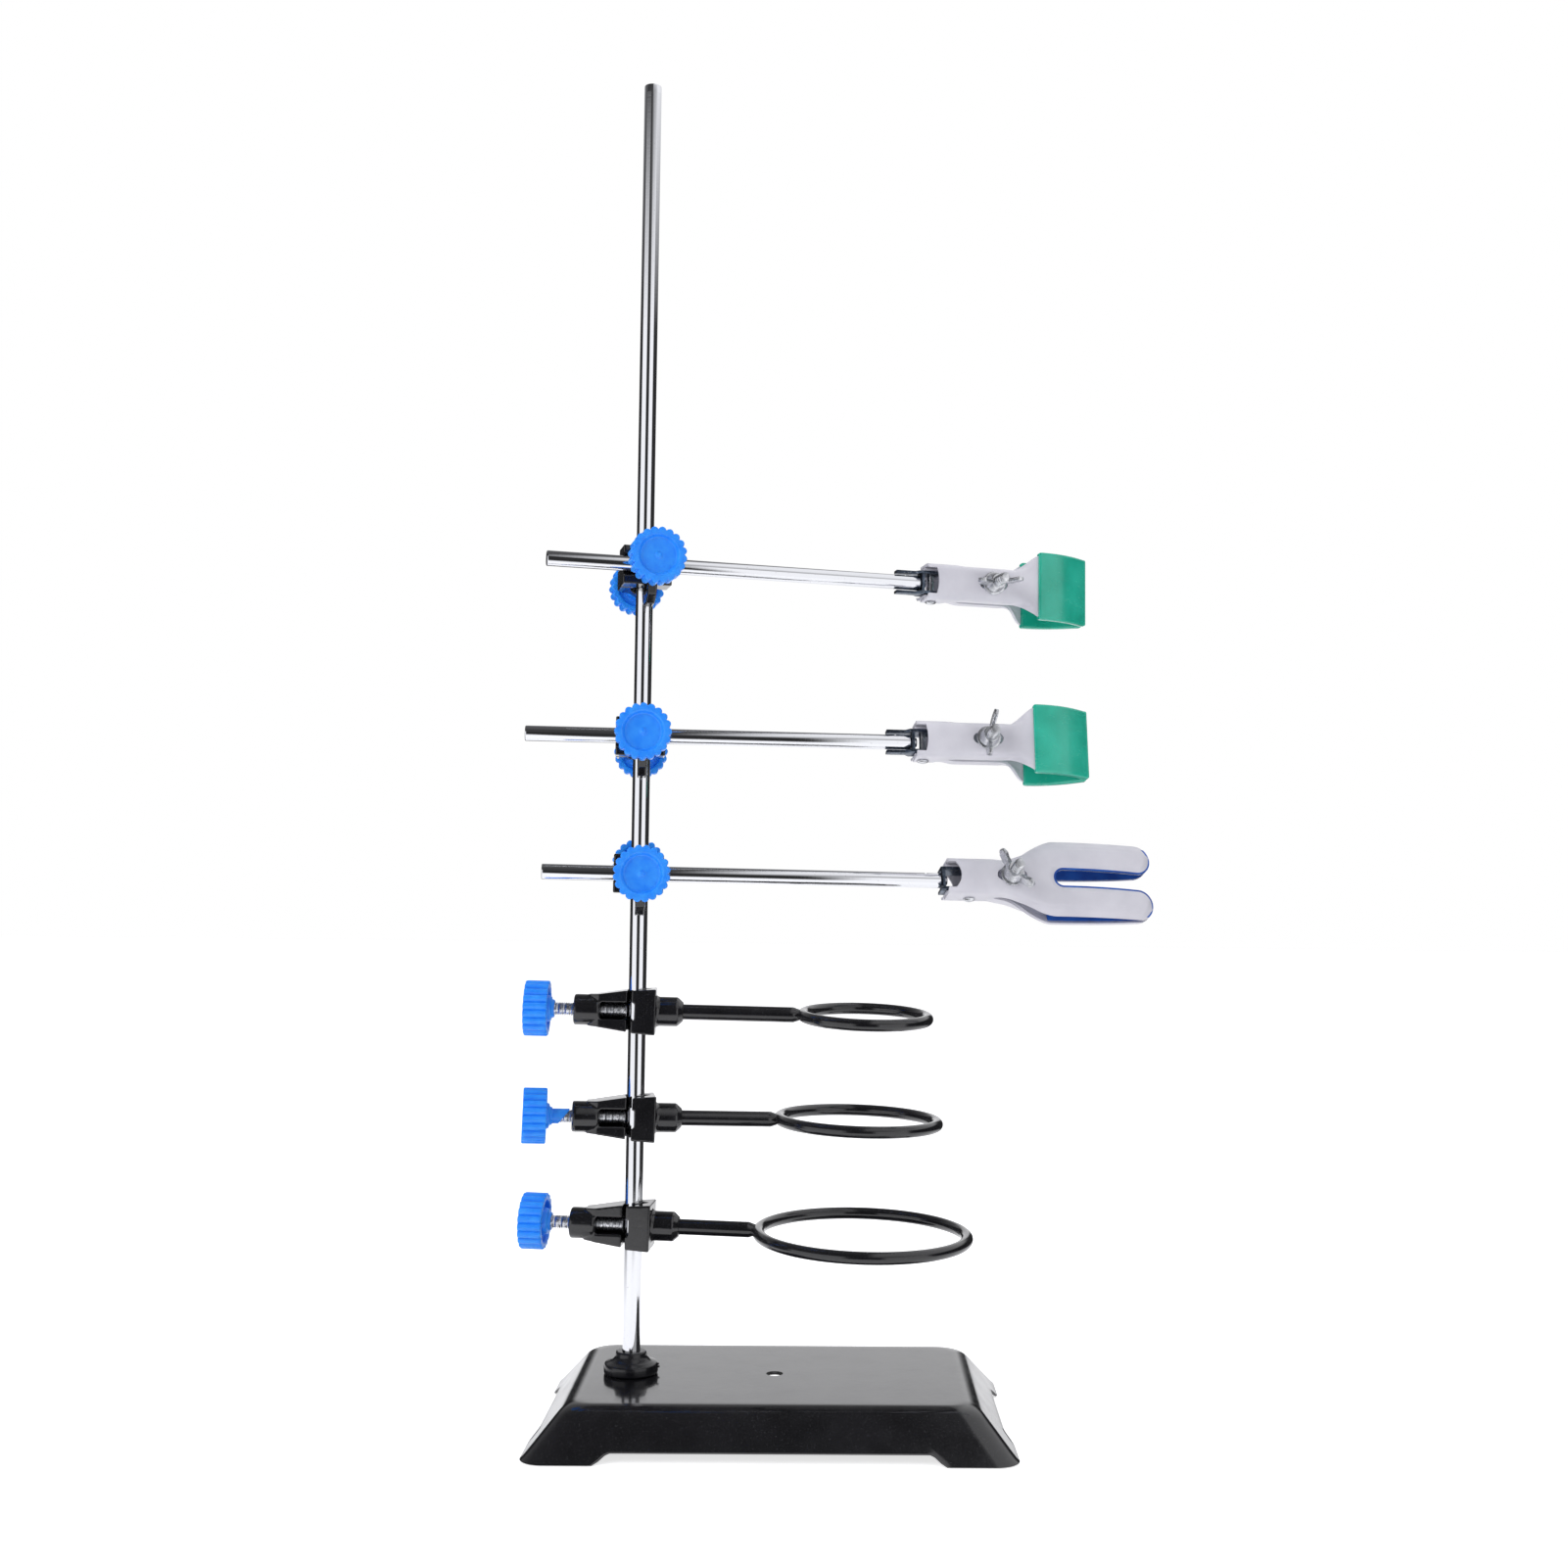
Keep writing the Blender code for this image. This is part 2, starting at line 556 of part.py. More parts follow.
def sheet_mesh(stations, shape, thickness, offset, rear, count=9, shift=0.0):
    """Return a bent sheet lofted through the sections that shape gives along +X.

    The sheet is first moved by shift along its own normals.
    """
    bm = bmesh.new()
    rows = []
    for x in stations:
        rows.append([bm.verts.new((x, y, z)) for y, z in section(*shape(x), count)])
    for row, following in zip(rows, rows[1:]):
        for i in range(count - 1):
            bm.faces.new((row[i], row[i + 1], following[i + 1], following[i]))
    bm.normal_update()
    normals = [vert.normal.copy() for vert in bm.verts]
    for vert, normal in zip(bm.verts, normals):
        vert.co += shift * normal
    if rear:
        bmesh.ops.scale(bm, vec=(1, -1, 1), verts=bm.verts)
        bmesh.ops.reverse_faces(bm, faces=bm.faces)
    obj = temporary(from_bmesh(bm))
    wall = obj.modifiers.new("Sheet", "SOLIDIFY")
    wall.thickness = thickness
    wall.offset = offset
    wall.use_even_offset = True
    return evaluated_mesh(obj)


def flange_edge(x, ear_end):
    """Return how far the flanges run past the middle: long at the ears, short beyond them."""
    return 3.2 * MM - 4.9 * MM * smooth(x, ear_end, ear_end + 4 * MM)


def shank_height(x, rear):
    """Return half the shank's height: the rear jaw's ears nest inside the front jaw's."""
    outside = REAR_EAR_OUTSIDE if rear else FRONT_EAR_OUTSIDE
    return outside + (SHANK_HALF_HEIGHT - outside) * smooth(x, 9 * MM, 16 * MM)


def condenser_shape(rear):
    """Return the function that shapes a condenser jaw: a channel that flares into a bowed plate."""
    def shape(x):
        flat = smooth(x, 36 * MM, PAD_START)
        share = min(max((x - PAD_START) / (PAD_END - PAD_START), 0), 1)
        bow = 12.6 * MM - 9.4 * MM * share ** 2.2
        half = shank_height(x, rear)
        flare = smooth(x, 37 * MM, PAD_START + 1 * MM) ** 1.5
        height = half + (PAD_HALF_HEIGHT - half) * flare
        depth = SHANK_DEPTH + (bow - SHANK_DEPTH) * flat
        return height, depth, flange_edge(x, 5 * MM), flat
    return shape


def flask_shape(rear):
    """Return the function that shapes a flask jaw: a channel that spreads into a bowed fork."""
    def shape(x):
        flat = smooth(x, 16 * MM, 40 * MM)
        bow = 10 * MM - 6 * MM * max((x - FORK_ROOT) / (FORK_END - FORK_ROOT), 0) ** 2
        half = shank_height(x, rear)
        height = half + (FORK_HALF_HEIGHT - half) * smooth(x, 14 * MM, 40 * MM)
        depth = SHANK_DEPTH + (bow - SHANK_DEPTH) * flat
        return height, depth, flange_edge(x, 5 * MM), 0.75 * flat
    return shape


def fork_outline():
    """Return the fork's front view, from its root to two round-ended prongs."""
    def arc(centre, radius, start, end, count):
        steps = [math.radians(start + (end - start) * i / count) for i in range(count + 1)]
        return [(centre[0] + radius * math.cos(a), centre[1] + radius * math.sin(a)) for a in steps]

    middle = FORK_GAP_HALF + PRONG_RADIUS
    tip = FORK_END - PRONG_RADIUS
    far = FORK_HALF_HEIGHT + 8 * MM
    outline = [(-30 * MM, -far), (FORK_ROOT, -far), (tip - 20 * MM, -far)]
    outline += arc((tip, -middle), PRONG_RADIUS, -90, 90, 6)
    outline += arc((FORK_ROOT, 0), FORK_GAP_HALF, 270, 90, 4)
    outline += arc((tip, middle), PRONG_RADIUS, -90, 90, 6)
    outline += [(tip - 20 * MM, far), (FORK_ROOT, far), (-30 * MM, far)]
    return outline


def bolt_passage(bolt, rear):
    """Return the cutter for the bolt's hole: a slot in the front jaw, round in the rear one."""
    half = BOLT_HOLE_RADIUS if rear else BOLT_SLOT_HALF
    cutter = plate(ellipse(half, BOLT_HOLE_RADIUS), -30 * MM, 30 * MM)
    side = 18 * MM if rear else -18 * MM
    return moved(cutter, Matrix.Translation((bolt, side, 0)) @ ALONG_MINUS_Y @ Matrix.Scale(0.5, 4, (0, 0, 1)))


def jaw_mesh(kind, bolt, rear):
    """Return one stamped jaw with its hinge holes and its bolt hole."""
    if kind == "condenser":
        shank = [x * MM for x in (-4, 1, 5, 9, 14, 25, 36, 40, 45)]
        sheet = sheet_mesh(shank + list(PAD_STATIONS), condenser_shape(rear), JAW_SHEET, 1, rear)
        steps = []
    else:
        stations = [-11, -3, 5, 9, 16, 22, 29, 36, 44, 54, 64, 76, 88]
        sheet = sheet_mesh([x * MM for x in stations], flask_shape(rear), JAW_SHEET, 1, rear)
        cutter = moved(plate(fork_outline(), -40 * MM, 40 * MM), UPRIGHT)
        steps = [("INTERSECT", cutter)]
    steps.append(("DIFFERENCE", bar(PIN_RADIUS + GAP, -12 * MM, 12 * MM, 0, 10)))
    steps.append(("DIFFERENCE", bolt_passage(bolt, rear)))
    return combined(sheet, *steps)


def sleeve_mesh(rear):
    """Return the soft sleeve drawn over a condenser jaw's plate, open towards the shank."""
    def skin(x, grow):
        height, depth, edge, _ = condenser_shape(rear)(min(max(x, PAD_START), PAD_END))
        return height + grow, depth, edge, 1
    outer_stations = [*PAD_STATIONS, PAD_END + SLEEVE_SKIN]
    inner_stations = [PAD_START - 2 * MM, *PAD_STATIONS, PAD_END + GAP]
    outer = sheet_mesh(outer_stations, lambda x: skin(x, SLEEVE_SKIN),
                       JAW_SHEET + 2 * SLEEVE_SKIN, JAW_SHEET / (JAW_SHEET + 2 * SLEEVE_SKIN),
                       rear, 5)
    hollow = JAW_SHEET + 2 * GAP
    inner = sheet_mesh(inner_stations, lambda x: skin(x, GAP), hollow, JAW_SHEET / hollow, rear, 5)
    return combined(outer, ("DIFFERENCE", inner))


def lining_mesh(rear):
    """Return the soft lining inside a flask jaw's fork."""
    def inset(x):
        height, depth, edge, flat = flask_shape(rear)(x)
        return height - 2.5 * MM, depth, edge, flat

    stations = [x * MM for x in (38, 44, 54, 64, 76, 88)]
    sheet = sheet_mesh(stations, inset, LINING, 1, rear, shift=JAW_SHEET + LINING_GAP)
    return combined(sheet, ("INTERSECT", moved(plate(fork_outline(), -40 * MM, 40 * MM), UPRIGHT)))


def strip_outline(web, reach, end):
    """Return a yoke strip's outline, slimmer behind the web where it reaches far enough."""
    wide = YOKE_HALF_DEPTH
    if reach < web + 4 * MM:
        return [(-reach, -wide), (end, -wide), (end, wide), (-reach, wide)]
    slim = YOKE_LEG_HALF
    half = [(-reach, slim), (-web - 3.5 * MM, slim), (-web - 1.5 * MM, wide), (end, wide)]
    return [(x, -y) for x, y in half] + half[::-1]


def yoke_mesh(web, reach):
    """Return the plated yoke: two strips over and under the arm, joined by an upright web."""
    outer = YOKE_INSIDE + YOKE_SHEET
    end = 4.2 * MM
    lap = YOKE_INSIDE + YOKE_SHEET / 2
    half_web = YOKE_SHEET / 2
    web_depth = YOKE_HALF_DEPTH - 0.4 * MM
    strip = strip_outline(web, reach, end)
    return combined(
        plate(strip, YOKE_INSIDE, outer),
        ("UNION", box((-web - half_web, -web_depth, -lap), (-web + half_web, web_depth, lap))),
        ("UNION", plate(strip, -outer, -YOKE_INSIDE)),
        ("DIFFERENCE", bar(PIN_RADIUS + GAP, -10 * MM, 10 * MM, 0, 12)),
        ("DIFFERENCE", moved(bar(SPIGOT_RADIUS + GAP, -web - 3 * MM, 3 * MM - web, 0, 12), ALONG_X)))


def arm_mesh(start, end):
    """Return the clamp's arm: a chromed bar with a peened spigot through the yoke's web."""
    neck = end - GAP
    tail = end + YOKE_SHEET + 1.3 * MM
    edge = 0.6 * MM
    bar_profile = [(0, tail), (SPIGOT_RADIUS - 0.4 * MM, tail), (SPIGOT_RADIUS, tail - 0.4 * MM),
                   (SPIGOT_RADIUS, neck), (ARM_RADIUS - edge, neck), (ARM_RADIUS, neck - edge),
                   (ARM_RADIUS, start + edge), (ARM_RADIUS - edge, start), (0, start)]
    return moved(turned(bar_profile, 16), ALONG_X)


def pin_mesh():
    """Return the hinge rivet with its two heads."""
    seat = FRONT_EAR_OUTSIDE + GAP
    head = seat + 0.9 * MM
    half = [(0, head), (PIN_HEAD_RADIUS * 0.7, head), (PIN_HEAD_RADIUS, seat + 0.3 * MM),
            (PIN_HEAD_RADIUS, seat), (PIN_RADIUS, seat)]
    return turned(half + [(radius, -height) for radius, height in reversed(half)], 10)


def bolt_seat(kind, bolt):
    """Return how far from the middle the jaws' outsides stand where the bolt passes."""
    shape = condenser_shape(False) if kind == "condenser" else flask_shape(False)
    return max(shape(bolt + side * NUT_WASHER_RADIUS)[1] for side in (-1, 0, 1)) + GAP


def bolt_mesh(clear):
    """Return the clamp's bolt along -Y, its round head behind the rear jaw."""
    seat = -clear
    head = seat - 2.6 * MM
    profile = [(0, -BOLT_TIP), (BOLT_RADIUS - 0.5 * MM, -BOLT_TIP), (BOLT_RADIUS, -BOLT_TIP - 0.5 * MM),
               (BOLT_RADIUS, seat), (4.6 * MM, seat), (4.3 * MM, head + 0.9 * MM),
               (2.6 * MM, head), (0, head)]
    return moved(turned(profile, 12), ALONG_MINUS_Y)


def wing_nut_mesh(seat, turn):
    """Return a wing nut along -Y: a tapered hub with two ears, turned by turn degrees."""
    top = seat + 6 * MM
    hub = turned([(0, top), (3.6 * MM, top), (4.7 * MM, seat), (0, seat)], 14)
    wing = [(3 * MM, seat + 0.6 * MM), (7 * MM, seat + 1.6 * MM), (10 * MM, seat + 4.5 * MM),
            (11.4 * MM, seat + 8 * MM), (10.4 * MM, seat + 10.4 * MM), (8 * MM, seat + 10.6 * MM),
            (6 * MM, seat + 8 * MM), (3 * MM, seat + 5.4 * MM)]
    half = 0.8 * MM
    ear = moved(plate(wing, -half, half), UPRIGHT)
    other = moved(ear.copy(), Matrix.Rotation(math.radians(180), 4, "Z"))
    bore = bar(BOLT_HOLE_RADIUS, seat - 1 * MM, top + 6 * MM, 0, 12)
    nut = combined(hub, ("UNION", ear), ("UNION", other), ("DIFFERENCE", bore))
    return moved(nut, ALONG_MINUS_Y @ Matrix.Rotation(math.radians(turn), 4, "Z"))


def add_clamp(root, knob, clamp):
    """Add one clamp: carriage, boss head, arm and gripping head."""
    name, kind, height, swing, droop, drop, start, length, web, reach, roll, bolt, turn = clamp
    carriage = add_empty(f"{name}_clamp_carriage", root, (0, 0, height), (0, droop, swing))
    add_boss_head(name, carriage, drop, knob)
    end = start + length
    add_part(f"{name}_arm", arm_mesh(start, end), "chrome", carriage, (0, ARM_DEPTH, 0))
    hinge = (end + web + YOKE_SHEET / 2, ARM_DEPTH, 0)
    head = add_empty(f"{name}_clamp_head", carriage, hinge, (roll, 0, 0))
    add_part(f"{name}_yoke", yoke_mesh(web, reach), "dark_zinc", head)
    add_part(f"{name}_hinge_pin", pin_mesh(), "zinc", head)
    add_part(f"{name}_front_jaw", jaw_mesh(kind, bolt, False), "grey_paint", head)
    add_part(f"{name}_rear_jaw", jaw_mesh(kind, bolt, True), "grey_paint", head)
    for side, rear in (("front", False), ("rear", True)):
        if kind == "condenser":
            add_part(f"{name}_{side}_pad", sleeve_mesh(rear), "green_sleeve", head)
        else:
            add_part(f"{name}_{side}_pad", lining_mesh(rear), "blue_lining", head)
    clear = bolt_seat(kind, bolt)
    add_part(f"{name}_bolt", bolt_mesh(clear), "zinc", head, (bolt, 0, 0))
    face = clear + NUT_WASHER_THICK
    washer = tube(NUT_WASHER_RADIUS, BOLT_HOLE_RADIUS, clear, face)
    add_part(f"{name}_washer", moved(washer, ALONG_MINUS_Y), "zinc", head, (bolt, 0, 0))
    add_part(f"{name}_wing_nut", wing_nut_mesh(face + GAP, turn), "zinc", head, (bolt, 0, 0))


# ---------------------------------------------------------------- whole stand

def centre_on_footprint(root):
    """Move the stand so that its origin is below the middle of its bounding box."""
    bpy.context.view_layer.update()
    points = []
    for obj in bpy.data.collections["retort_stand"].objects:
        points += [obj.matrix_world @ vert.co for vert in obj.data.vertices]
    for axis in (0, 1):
        values = [point[axis] for point in points]
        root.location[axis] -= (min(values) + max(values)) / 2
    root.location.z -= min(point.z for point in points)


def main():
    """Build the whole retort stand."""
    clear_scene()
    collection = bpy.data.collections.new("retort_stand")
    bpy.context.scene.collection.children.link(collection)
    root = add_empty("retort_stand_origin", None, (0, 0, 0))
    add_stand(root)
    knob = knob_mesh()
    ring_boss = ring_boss_mesh()
    for ring in RINGS:
        add_ring_support(root, ring_boss, knob, ring)
    for clamp in CLAMPS:
        add_clamp(root, knob, clamp)
    centre_on_footprint(root)


main()
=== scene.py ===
"""Looks of the laboratory retort stand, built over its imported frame.

Every piece is made in metres in the axes of what carries it, then placed by that carrier's
matrix. A carriage stands on the rod's axis: +X runs out along its arm, -Y faces the front
and +Z is up. A clamp's head sits on its hinge pin at the end of the arm.
"""

import logging
import math
from dataclasses import dataclass
from enum import Enum
from typing import Callable, Optional, Sequence

import bmesh
import bpy
from mathutils import Matrix, Vector

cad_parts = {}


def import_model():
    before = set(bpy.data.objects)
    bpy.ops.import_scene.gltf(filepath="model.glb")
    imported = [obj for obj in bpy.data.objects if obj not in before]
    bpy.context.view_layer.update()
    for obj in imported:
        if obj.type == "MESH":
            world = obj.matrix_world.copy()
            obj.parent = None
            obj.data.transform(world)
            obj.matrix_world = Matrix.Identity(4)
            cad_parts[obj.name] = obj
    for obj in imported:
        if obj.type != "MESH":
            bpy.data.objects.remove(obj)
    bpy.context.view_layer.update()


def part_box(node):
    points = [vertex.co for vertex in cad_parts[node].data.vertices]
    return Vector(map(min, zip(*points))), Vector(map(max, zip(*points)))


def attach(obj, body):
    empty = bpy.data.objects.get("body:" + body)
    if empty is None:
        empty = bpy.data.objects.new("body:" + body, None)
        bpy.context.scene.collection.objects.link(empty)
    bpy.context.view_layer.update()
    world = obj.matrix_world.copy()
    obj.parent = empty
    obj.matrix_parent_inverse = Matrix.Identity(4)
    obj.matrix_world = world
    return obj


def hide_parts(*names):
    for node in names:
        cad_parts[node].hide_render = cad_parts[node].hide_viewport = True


LOG = logging.getLogger("retort_stand")
MM = 0.001

Point2 = tuple[float, float]
Section = Sequence[Point2]
Colour = tuple[float, float, float, float]

ALONG_X = Matrix.Rotation(math.radians(90), 4, "Y")
ALONG_MINUS_X = Matrix.Rotation(math.radians(-90), 4, "Y")
ALONG_Y = Matrix.Rotation(math.radians(-90), 4, "X")
ALONG_MINUS_Y = Matrix.Rotation(math.radians(90), 4, "X")
UPRIGHT = Matrix.Rotation(math.radians(90), 4, "X")
EDGEWAYS = Matrix(((0, 0, 1, 0), (1, 0, 0, 0), (0, 1, 0, 0), (0, 0, 0, 1)))


def shift(x: float = 0.0, y: float = 0.0, z: float = 0.0) -> Matrix:
    """Return a translation matrix."""
    return Matrix.Translation((x, y, z))


def smooth(value: float, start: float, end: float) -> float:
    """Return 0 before start, 1 after end and an even ramp between."""
    share = min(max((value - start) / (end - start), 0.0), 1.0)
    return share * share * (3 - 2 * share)


# ---------------------------------------------------------------- what the stand measures

@dataclass(frozen=True)
class Base:
    """The pressed steel base."""

    length: float = 210 * MM
    width: float = 135 * MM
    top_length: float = 175.5 * MM
    top_width: float = 104.5 * MM
    height: float = 20 * MM
    wall: float = 1.6 * MM
    foot: float = 30 * MM
    arch: float = 4.5 * MM
    ramp: float = 4.5 * MM
    edge: float = 5.5 * MM
    from_rod: float = 65 * MM
    hole: float = 3.8 * MM
    end_steps: int = 84
    side_steps: int = 130


@dataclass(frozen=True)
class Rod:
    """The upright rod and its collar."""

    radius: float = 4 * MM
    bottom: float = 16 * MM
    top: float = 616 * MM
    collar_bottom: float = 20.3 * MM
    collar_height: float = 9.7 * MM
    collar_radius: float = 12.2 * MM


@dataclass(frozen=True)
class Thumb:
    """A thumb screw's knob and thread."""

    crest: float = 2.9 * MM
    pitch: float = 1.0 * MM
    radius: float = 12.6 * MM
    lobes: int = 20
    lobe_depth: float = 1.25 * MM
    length: float = 10.8 * MM
    hub: float = 2.6 * MM
    hub_radius: float = 5.6 * MM
    recess: float = 9.0 * MM
    recess_depth: float = 2.1 * MM
    lobe_start: float = 9.6 * MM
    lobe_full: float = 11.6 * MM
    grip: float = 2.8 * MM


@dataclass(frozen=True)
class Boss:
    """A clamp's cast boss head."""

    arm_radius: float = 3.5 * MM
    arm_depth: float = -14.3 * MM
    half_width: float = 12 * MM
    half_height: float = 8.8 * MM
    lug_radius: float = 6.3 * MM
    front: Point2 = (-28.3 * MM, -21 * MM)
    rear: Point2 = (8.5 * MM, 15.5 * MM)
    front_face: float = -42.4 * MM
    rear_face: float = 30 * MM


@dataclass(frozen=True)
class Support:
    """A ring support's cast boss and ring."""

    wire: float = 2.75 * MM
    stem: float = 3.5 * MM
    socket: float = 6.7 * MM
    socket_end: float = 21 * MM
    socket_bottom: float = 9.5 * MM
    jaw_end: float = 8.6 * MM
    lug_start: float = -28.6 * MM
    lug_end: float = -18 * MM
    lug_radius: float = 7 * MM
    knob_centre: float = 45.4 * MM


@dataclass(frozen=True)
class Head:
    """A clamp's gripping head, measured from its hinge pin."""

    inside: float = 4.1 * MM
    sheet: float = 1.4 * MM
    half_depth: float = 4.6 * MM
    leg_half: float = 2.2 * MM
    spigot: float = 2.2 * MM
    pin: float = 1.5 * MM
    jaw: float = 1.2 * MM
    rear_ear: float = 7.0 * MM
    front_ear: float = 8.5 * MM
    shank_half: float = 8.1 * MM
    shank_depth: float = 11 * MM
    bolt: float = 2.4 * MM
    bolt_tip: float = 27 * MM
    bolt_pitch: float = 0.8 * MM
    slot_half: float = 7 * MM
    washer: float = 5.5 * MM
    pad_start: float = 50 * MM
    pad_end: float = 76.3 * MM
    pad_half: float = 14.8 * MM
    skin: float = 1.4 * MM
    fork_end: float = 87.2 * MM
    fork_half: float = 18.2 * MM
    fork_root: float = 43.4 * MM
    fork_gap: float = 3.9 * MM
    prong: float = (18.2 - 3.9) / 2 * MM


@dataclass(frozen=True)
class RingSpec:
    """One ring support: where its carriage stands and how large its ring is."""

    name: str
    height: float
    swing: float
    droop: float
    stem_turn: float
    radius: float
    centre: float
    turn: float


@dataclass(frozen=True)
class ClampSpec:
    """One clamp: where its carriage stands, its arm and its head."""

    name: str
    forked: bool
    height: float
    swing: float
    droop: float
    drop: float
    start: float
    length: float
    web: float
    reach: float
    roll: float
    bolt: float
    turn: float
    knob_turn: float


RINGS = (
    RingSpec("small", 182.9 * MM, 3.2, 1.2, 3.5, 31.5 * MM, 104.8 * MM, 0.0),
    RingSpec("medium", 134.6 * MM, 9.2, 1.6, 0.7, 39.5 * MM, 103.5 * MM, 8.0),
    RingSpec("large", 86.1 * MM, -3.4, 1.3, 0.9, 49.9 * MM, 104.3 * MM, 4.0),
)
CLAMPS = (
    ClampSpec("upper", False, 386.2 * MM, 14.4, 0.6, -4.5 * MM, -46.6 * MM, 175.8 * MM,
              4.7 * MM, 17.5 * MM, -2.0, 28 * MM, 5.0, 3.0),
    ClampSpec("middle", False, 307.9 * MM, 6.6, 0.2, -4.5 * MM, -52.4 * MM, 175.8 * MM,
              4.7 * MM, 17.0 * MM, -11.0, 29 * MM, 80.0, 9.0),
    ClampSpec("lower", True, 245.5 * MM, 7.2, 0.7, 4.0 * MM, -44.0 * MM, 182.3 * MM,
              12.0 * MM, 13.5 * MM, -19.0, 18.6 * MM, 130.0, 0.0),
)


def carriage_place(foot: Matrix, spec: "RingSpec | ClampSpec") -> Matrix:
    """Return the matrix of a ring support or clamp on the rod."""
    swing = Matrix.Rotation(math.radians(spec.swing), 4, "Z")
    droop = Matrix.Rotation(math.radians(spec.droop), 4, "Y")
    return foot @ shift(z=spec.height) @ swing @ droop


# ---------------------------------------------------------------- meshes

class Mesh:
    """Mesh building blocks, each returning Blender mesh data."""

    @staticmethod
    def of(bm: bmesh.types.BMesh) -> bpy.types.Mesh:
        """Return bm as mesh data with its faces outward, and free it."""
        bmesh.ops.recalc_face_normals(bm, faces=bm.faces)
        mesh = bpy.data.meshes.new("mesh")
        bm.to_mesh(mesh)
        bm.free()
        return mesh

    @staticmethod
    def holder(mesh: bpy.types.Mesh) -> bpy.types.Object:
        """Return a working object that carries mesh."""
        obj = bpy.data.objects.new("work", mesh)
        bpy.context.scene.collection.objects.link(obj)
        return obj

    @staticmethod
    def applied(obj: bpy.types.Object) -> bpy.types.Mesh:
        """Return obj's mesh with its modifiers applied, and remove obj."""
        depsgraph = bpy.context.evaluated_depsgraph_get()
        mesh = bpy.data.meshes.new_from_object(obj.evaluated_get(depsgraph))
        bpy.data.objects.remove(obj)
        return mesh

    @staticmethod
    def moved(mesh: bpy.types.Mesh, matrix: Matrix) -> bpy.types.Mesh:
        """Return mesh after moving its points by matrix."""
        mesh.transform(matrix)
        if matrix.is_negative:
            mesh.flip_normals()
        return mesh

    @staticmethod
    def box(low: Sequence[float], high: Sequence[float]) -> bpy.types.Mesh:
        """Return a box between two corners."""
        bm = bmesh.new()
        bmesh.ops.create_cube(bm, size=1.0)
        size = Vector(high) - Vector(low)
        bmesh.ops.scale(bm, vec=size, verts=bm.verts)
        bmesh.ops.translate(bm, vec=(Vector(low) + Vector(high)) / 2, verts=bm.verts)
        return Mesh.of(bm)

    @staticmethod
    def grid(rows: Sequence[Sequence[Vector]], around: bool = False,
             along: bool = False) -> bmesh.types.BMesh:
        """Return quads between rows of points, closed around each row or along them."""
        bm = bmesh.new()
        made = [[bm.verts.new(point) for point in row] for row in rows]
        pairs = list(zip(made, made[1:]))
        if along:
            pairs.append((made[-1], made[0]))
        for row, after in pairs:
            count = len(row)
            for i in range(count if around else count - 1):
                j = (i + 1) % count
                bm.faces.new((row[i], row[j], after[j], after[i]))
        return bm

    @staticmethod
    def lathe(profile: Section, steps: int = 48, closed: bool = False) -> bpy.types.Mesh:
        """Return a shape turned about Z from (radius, height) points.

        Args:
            profile: The points, from one end to the other.
            steps: Segments around.
            closed: Whether the profile's last point joins its first.
        """
        turns = [2 * math.pi * i / steps for i in range(steps)]
        rows = [[Vector((r * math.cos(a), r * math.sin(a), z)) for a in turns] for r, z in profile]
        bm = Mesh.grid(rows, around=True, along=closed)
        bmesh.ops.remove_doubles(bm, verts=bm.verts, dist=1e-6)
        return Mesh.of(bm)

    @staticmethod
    def rounded(profile: Section, radius: float, count: int = 4) -> list[Point2]:
        """Return a profile with each inner corner cut by a small arc of about radius."""
        out: list[Point2] = [profile[0]]
        for before, here, after in zip(profile, profile[1:], profile[2:]):
            a, b, c = Vector(before), Vector(here), Vector(after)
            reach = min(radius, (a - b).length * 0.45, (c - b).length * 0.45)
            start = b + (a - b).normalized() * reach
            end = b + (c - b).normalized() * reach
            for i in range(count + 1):
                t = i / count
                point = start * (1 - t) ** 2 + b * 2 * t * (1 - t) + end * t * t
                out.append((point.x, point.y))
        out.append(profile[-1])
        return out

    @staticmethod
    def bar(radius: float, start: float, end: float, edge: float = 0.0,
            steps: int = 48) -> bpy.types.Mesh:
        """Return a round bar along Z with softened ends."""
        profile = [(0.0, end), (radius, end), (radius, start), (0.0, start)]
        if edge:
            profile = Mesh.rounded(profile, edge, 3)
        return Mesh.lathe(profile, steps)

    @staticmethod
    def tube(outer: float, inner: float, start: float, end: float,
             steps: int = 48) -> bpy.types.Mesh:
        """Return a round tube along Z."""
        wall = [(outer, end), (outer, start), (inner, start), (inner, end)]
        return Mesh.lathe(wall, steps, True)

    @staticmethod
    def plate(outline: Section, low: float, high: float) -> bpy.types.Mesh:
        """Return a flat outline thickened along Z from low to high."""
        bm = bmesh.new()
        verts = [bm.verts.new((x, y, low)) for x, y in outline]
        face = bm.faces.new(verts)
        made = bmesh.ops.extrude_face_region(bm, geom=[face])
        tops = [item for item in made["geom"] if isinstance(item, bmesh.types.BMVert)]
        bmesh.ops.translate(bm, vec=(0, 0, high - low), verts=tops)
        return Mesh.of(bm)

    @staticmethod
    def combined(mesh: bpy.types.Mesh,
                 *steps: tuple[str, bpy.types.Mesh]) -> bpy.types.Mesh:
        """Return mesh after Boolean steps, each an operation and the mesh it uses."""
        obj = Mesh.holder(mesh)
        tools = []
        for operation, tool_mesh in steps:
            tool = Mesh.holder(tool_mesh)
            tools.append(tool)
            modifier = obj.modifiers.new(operation.title(), "BOOLEAN")
            modifier.operation = operation
            modifier.solver = "EXACT"
            modifier.object = tool
        result = Mesh.applied(obj)
        for tool in tools:
            bpy.data.objects.remove(tool)
        return result

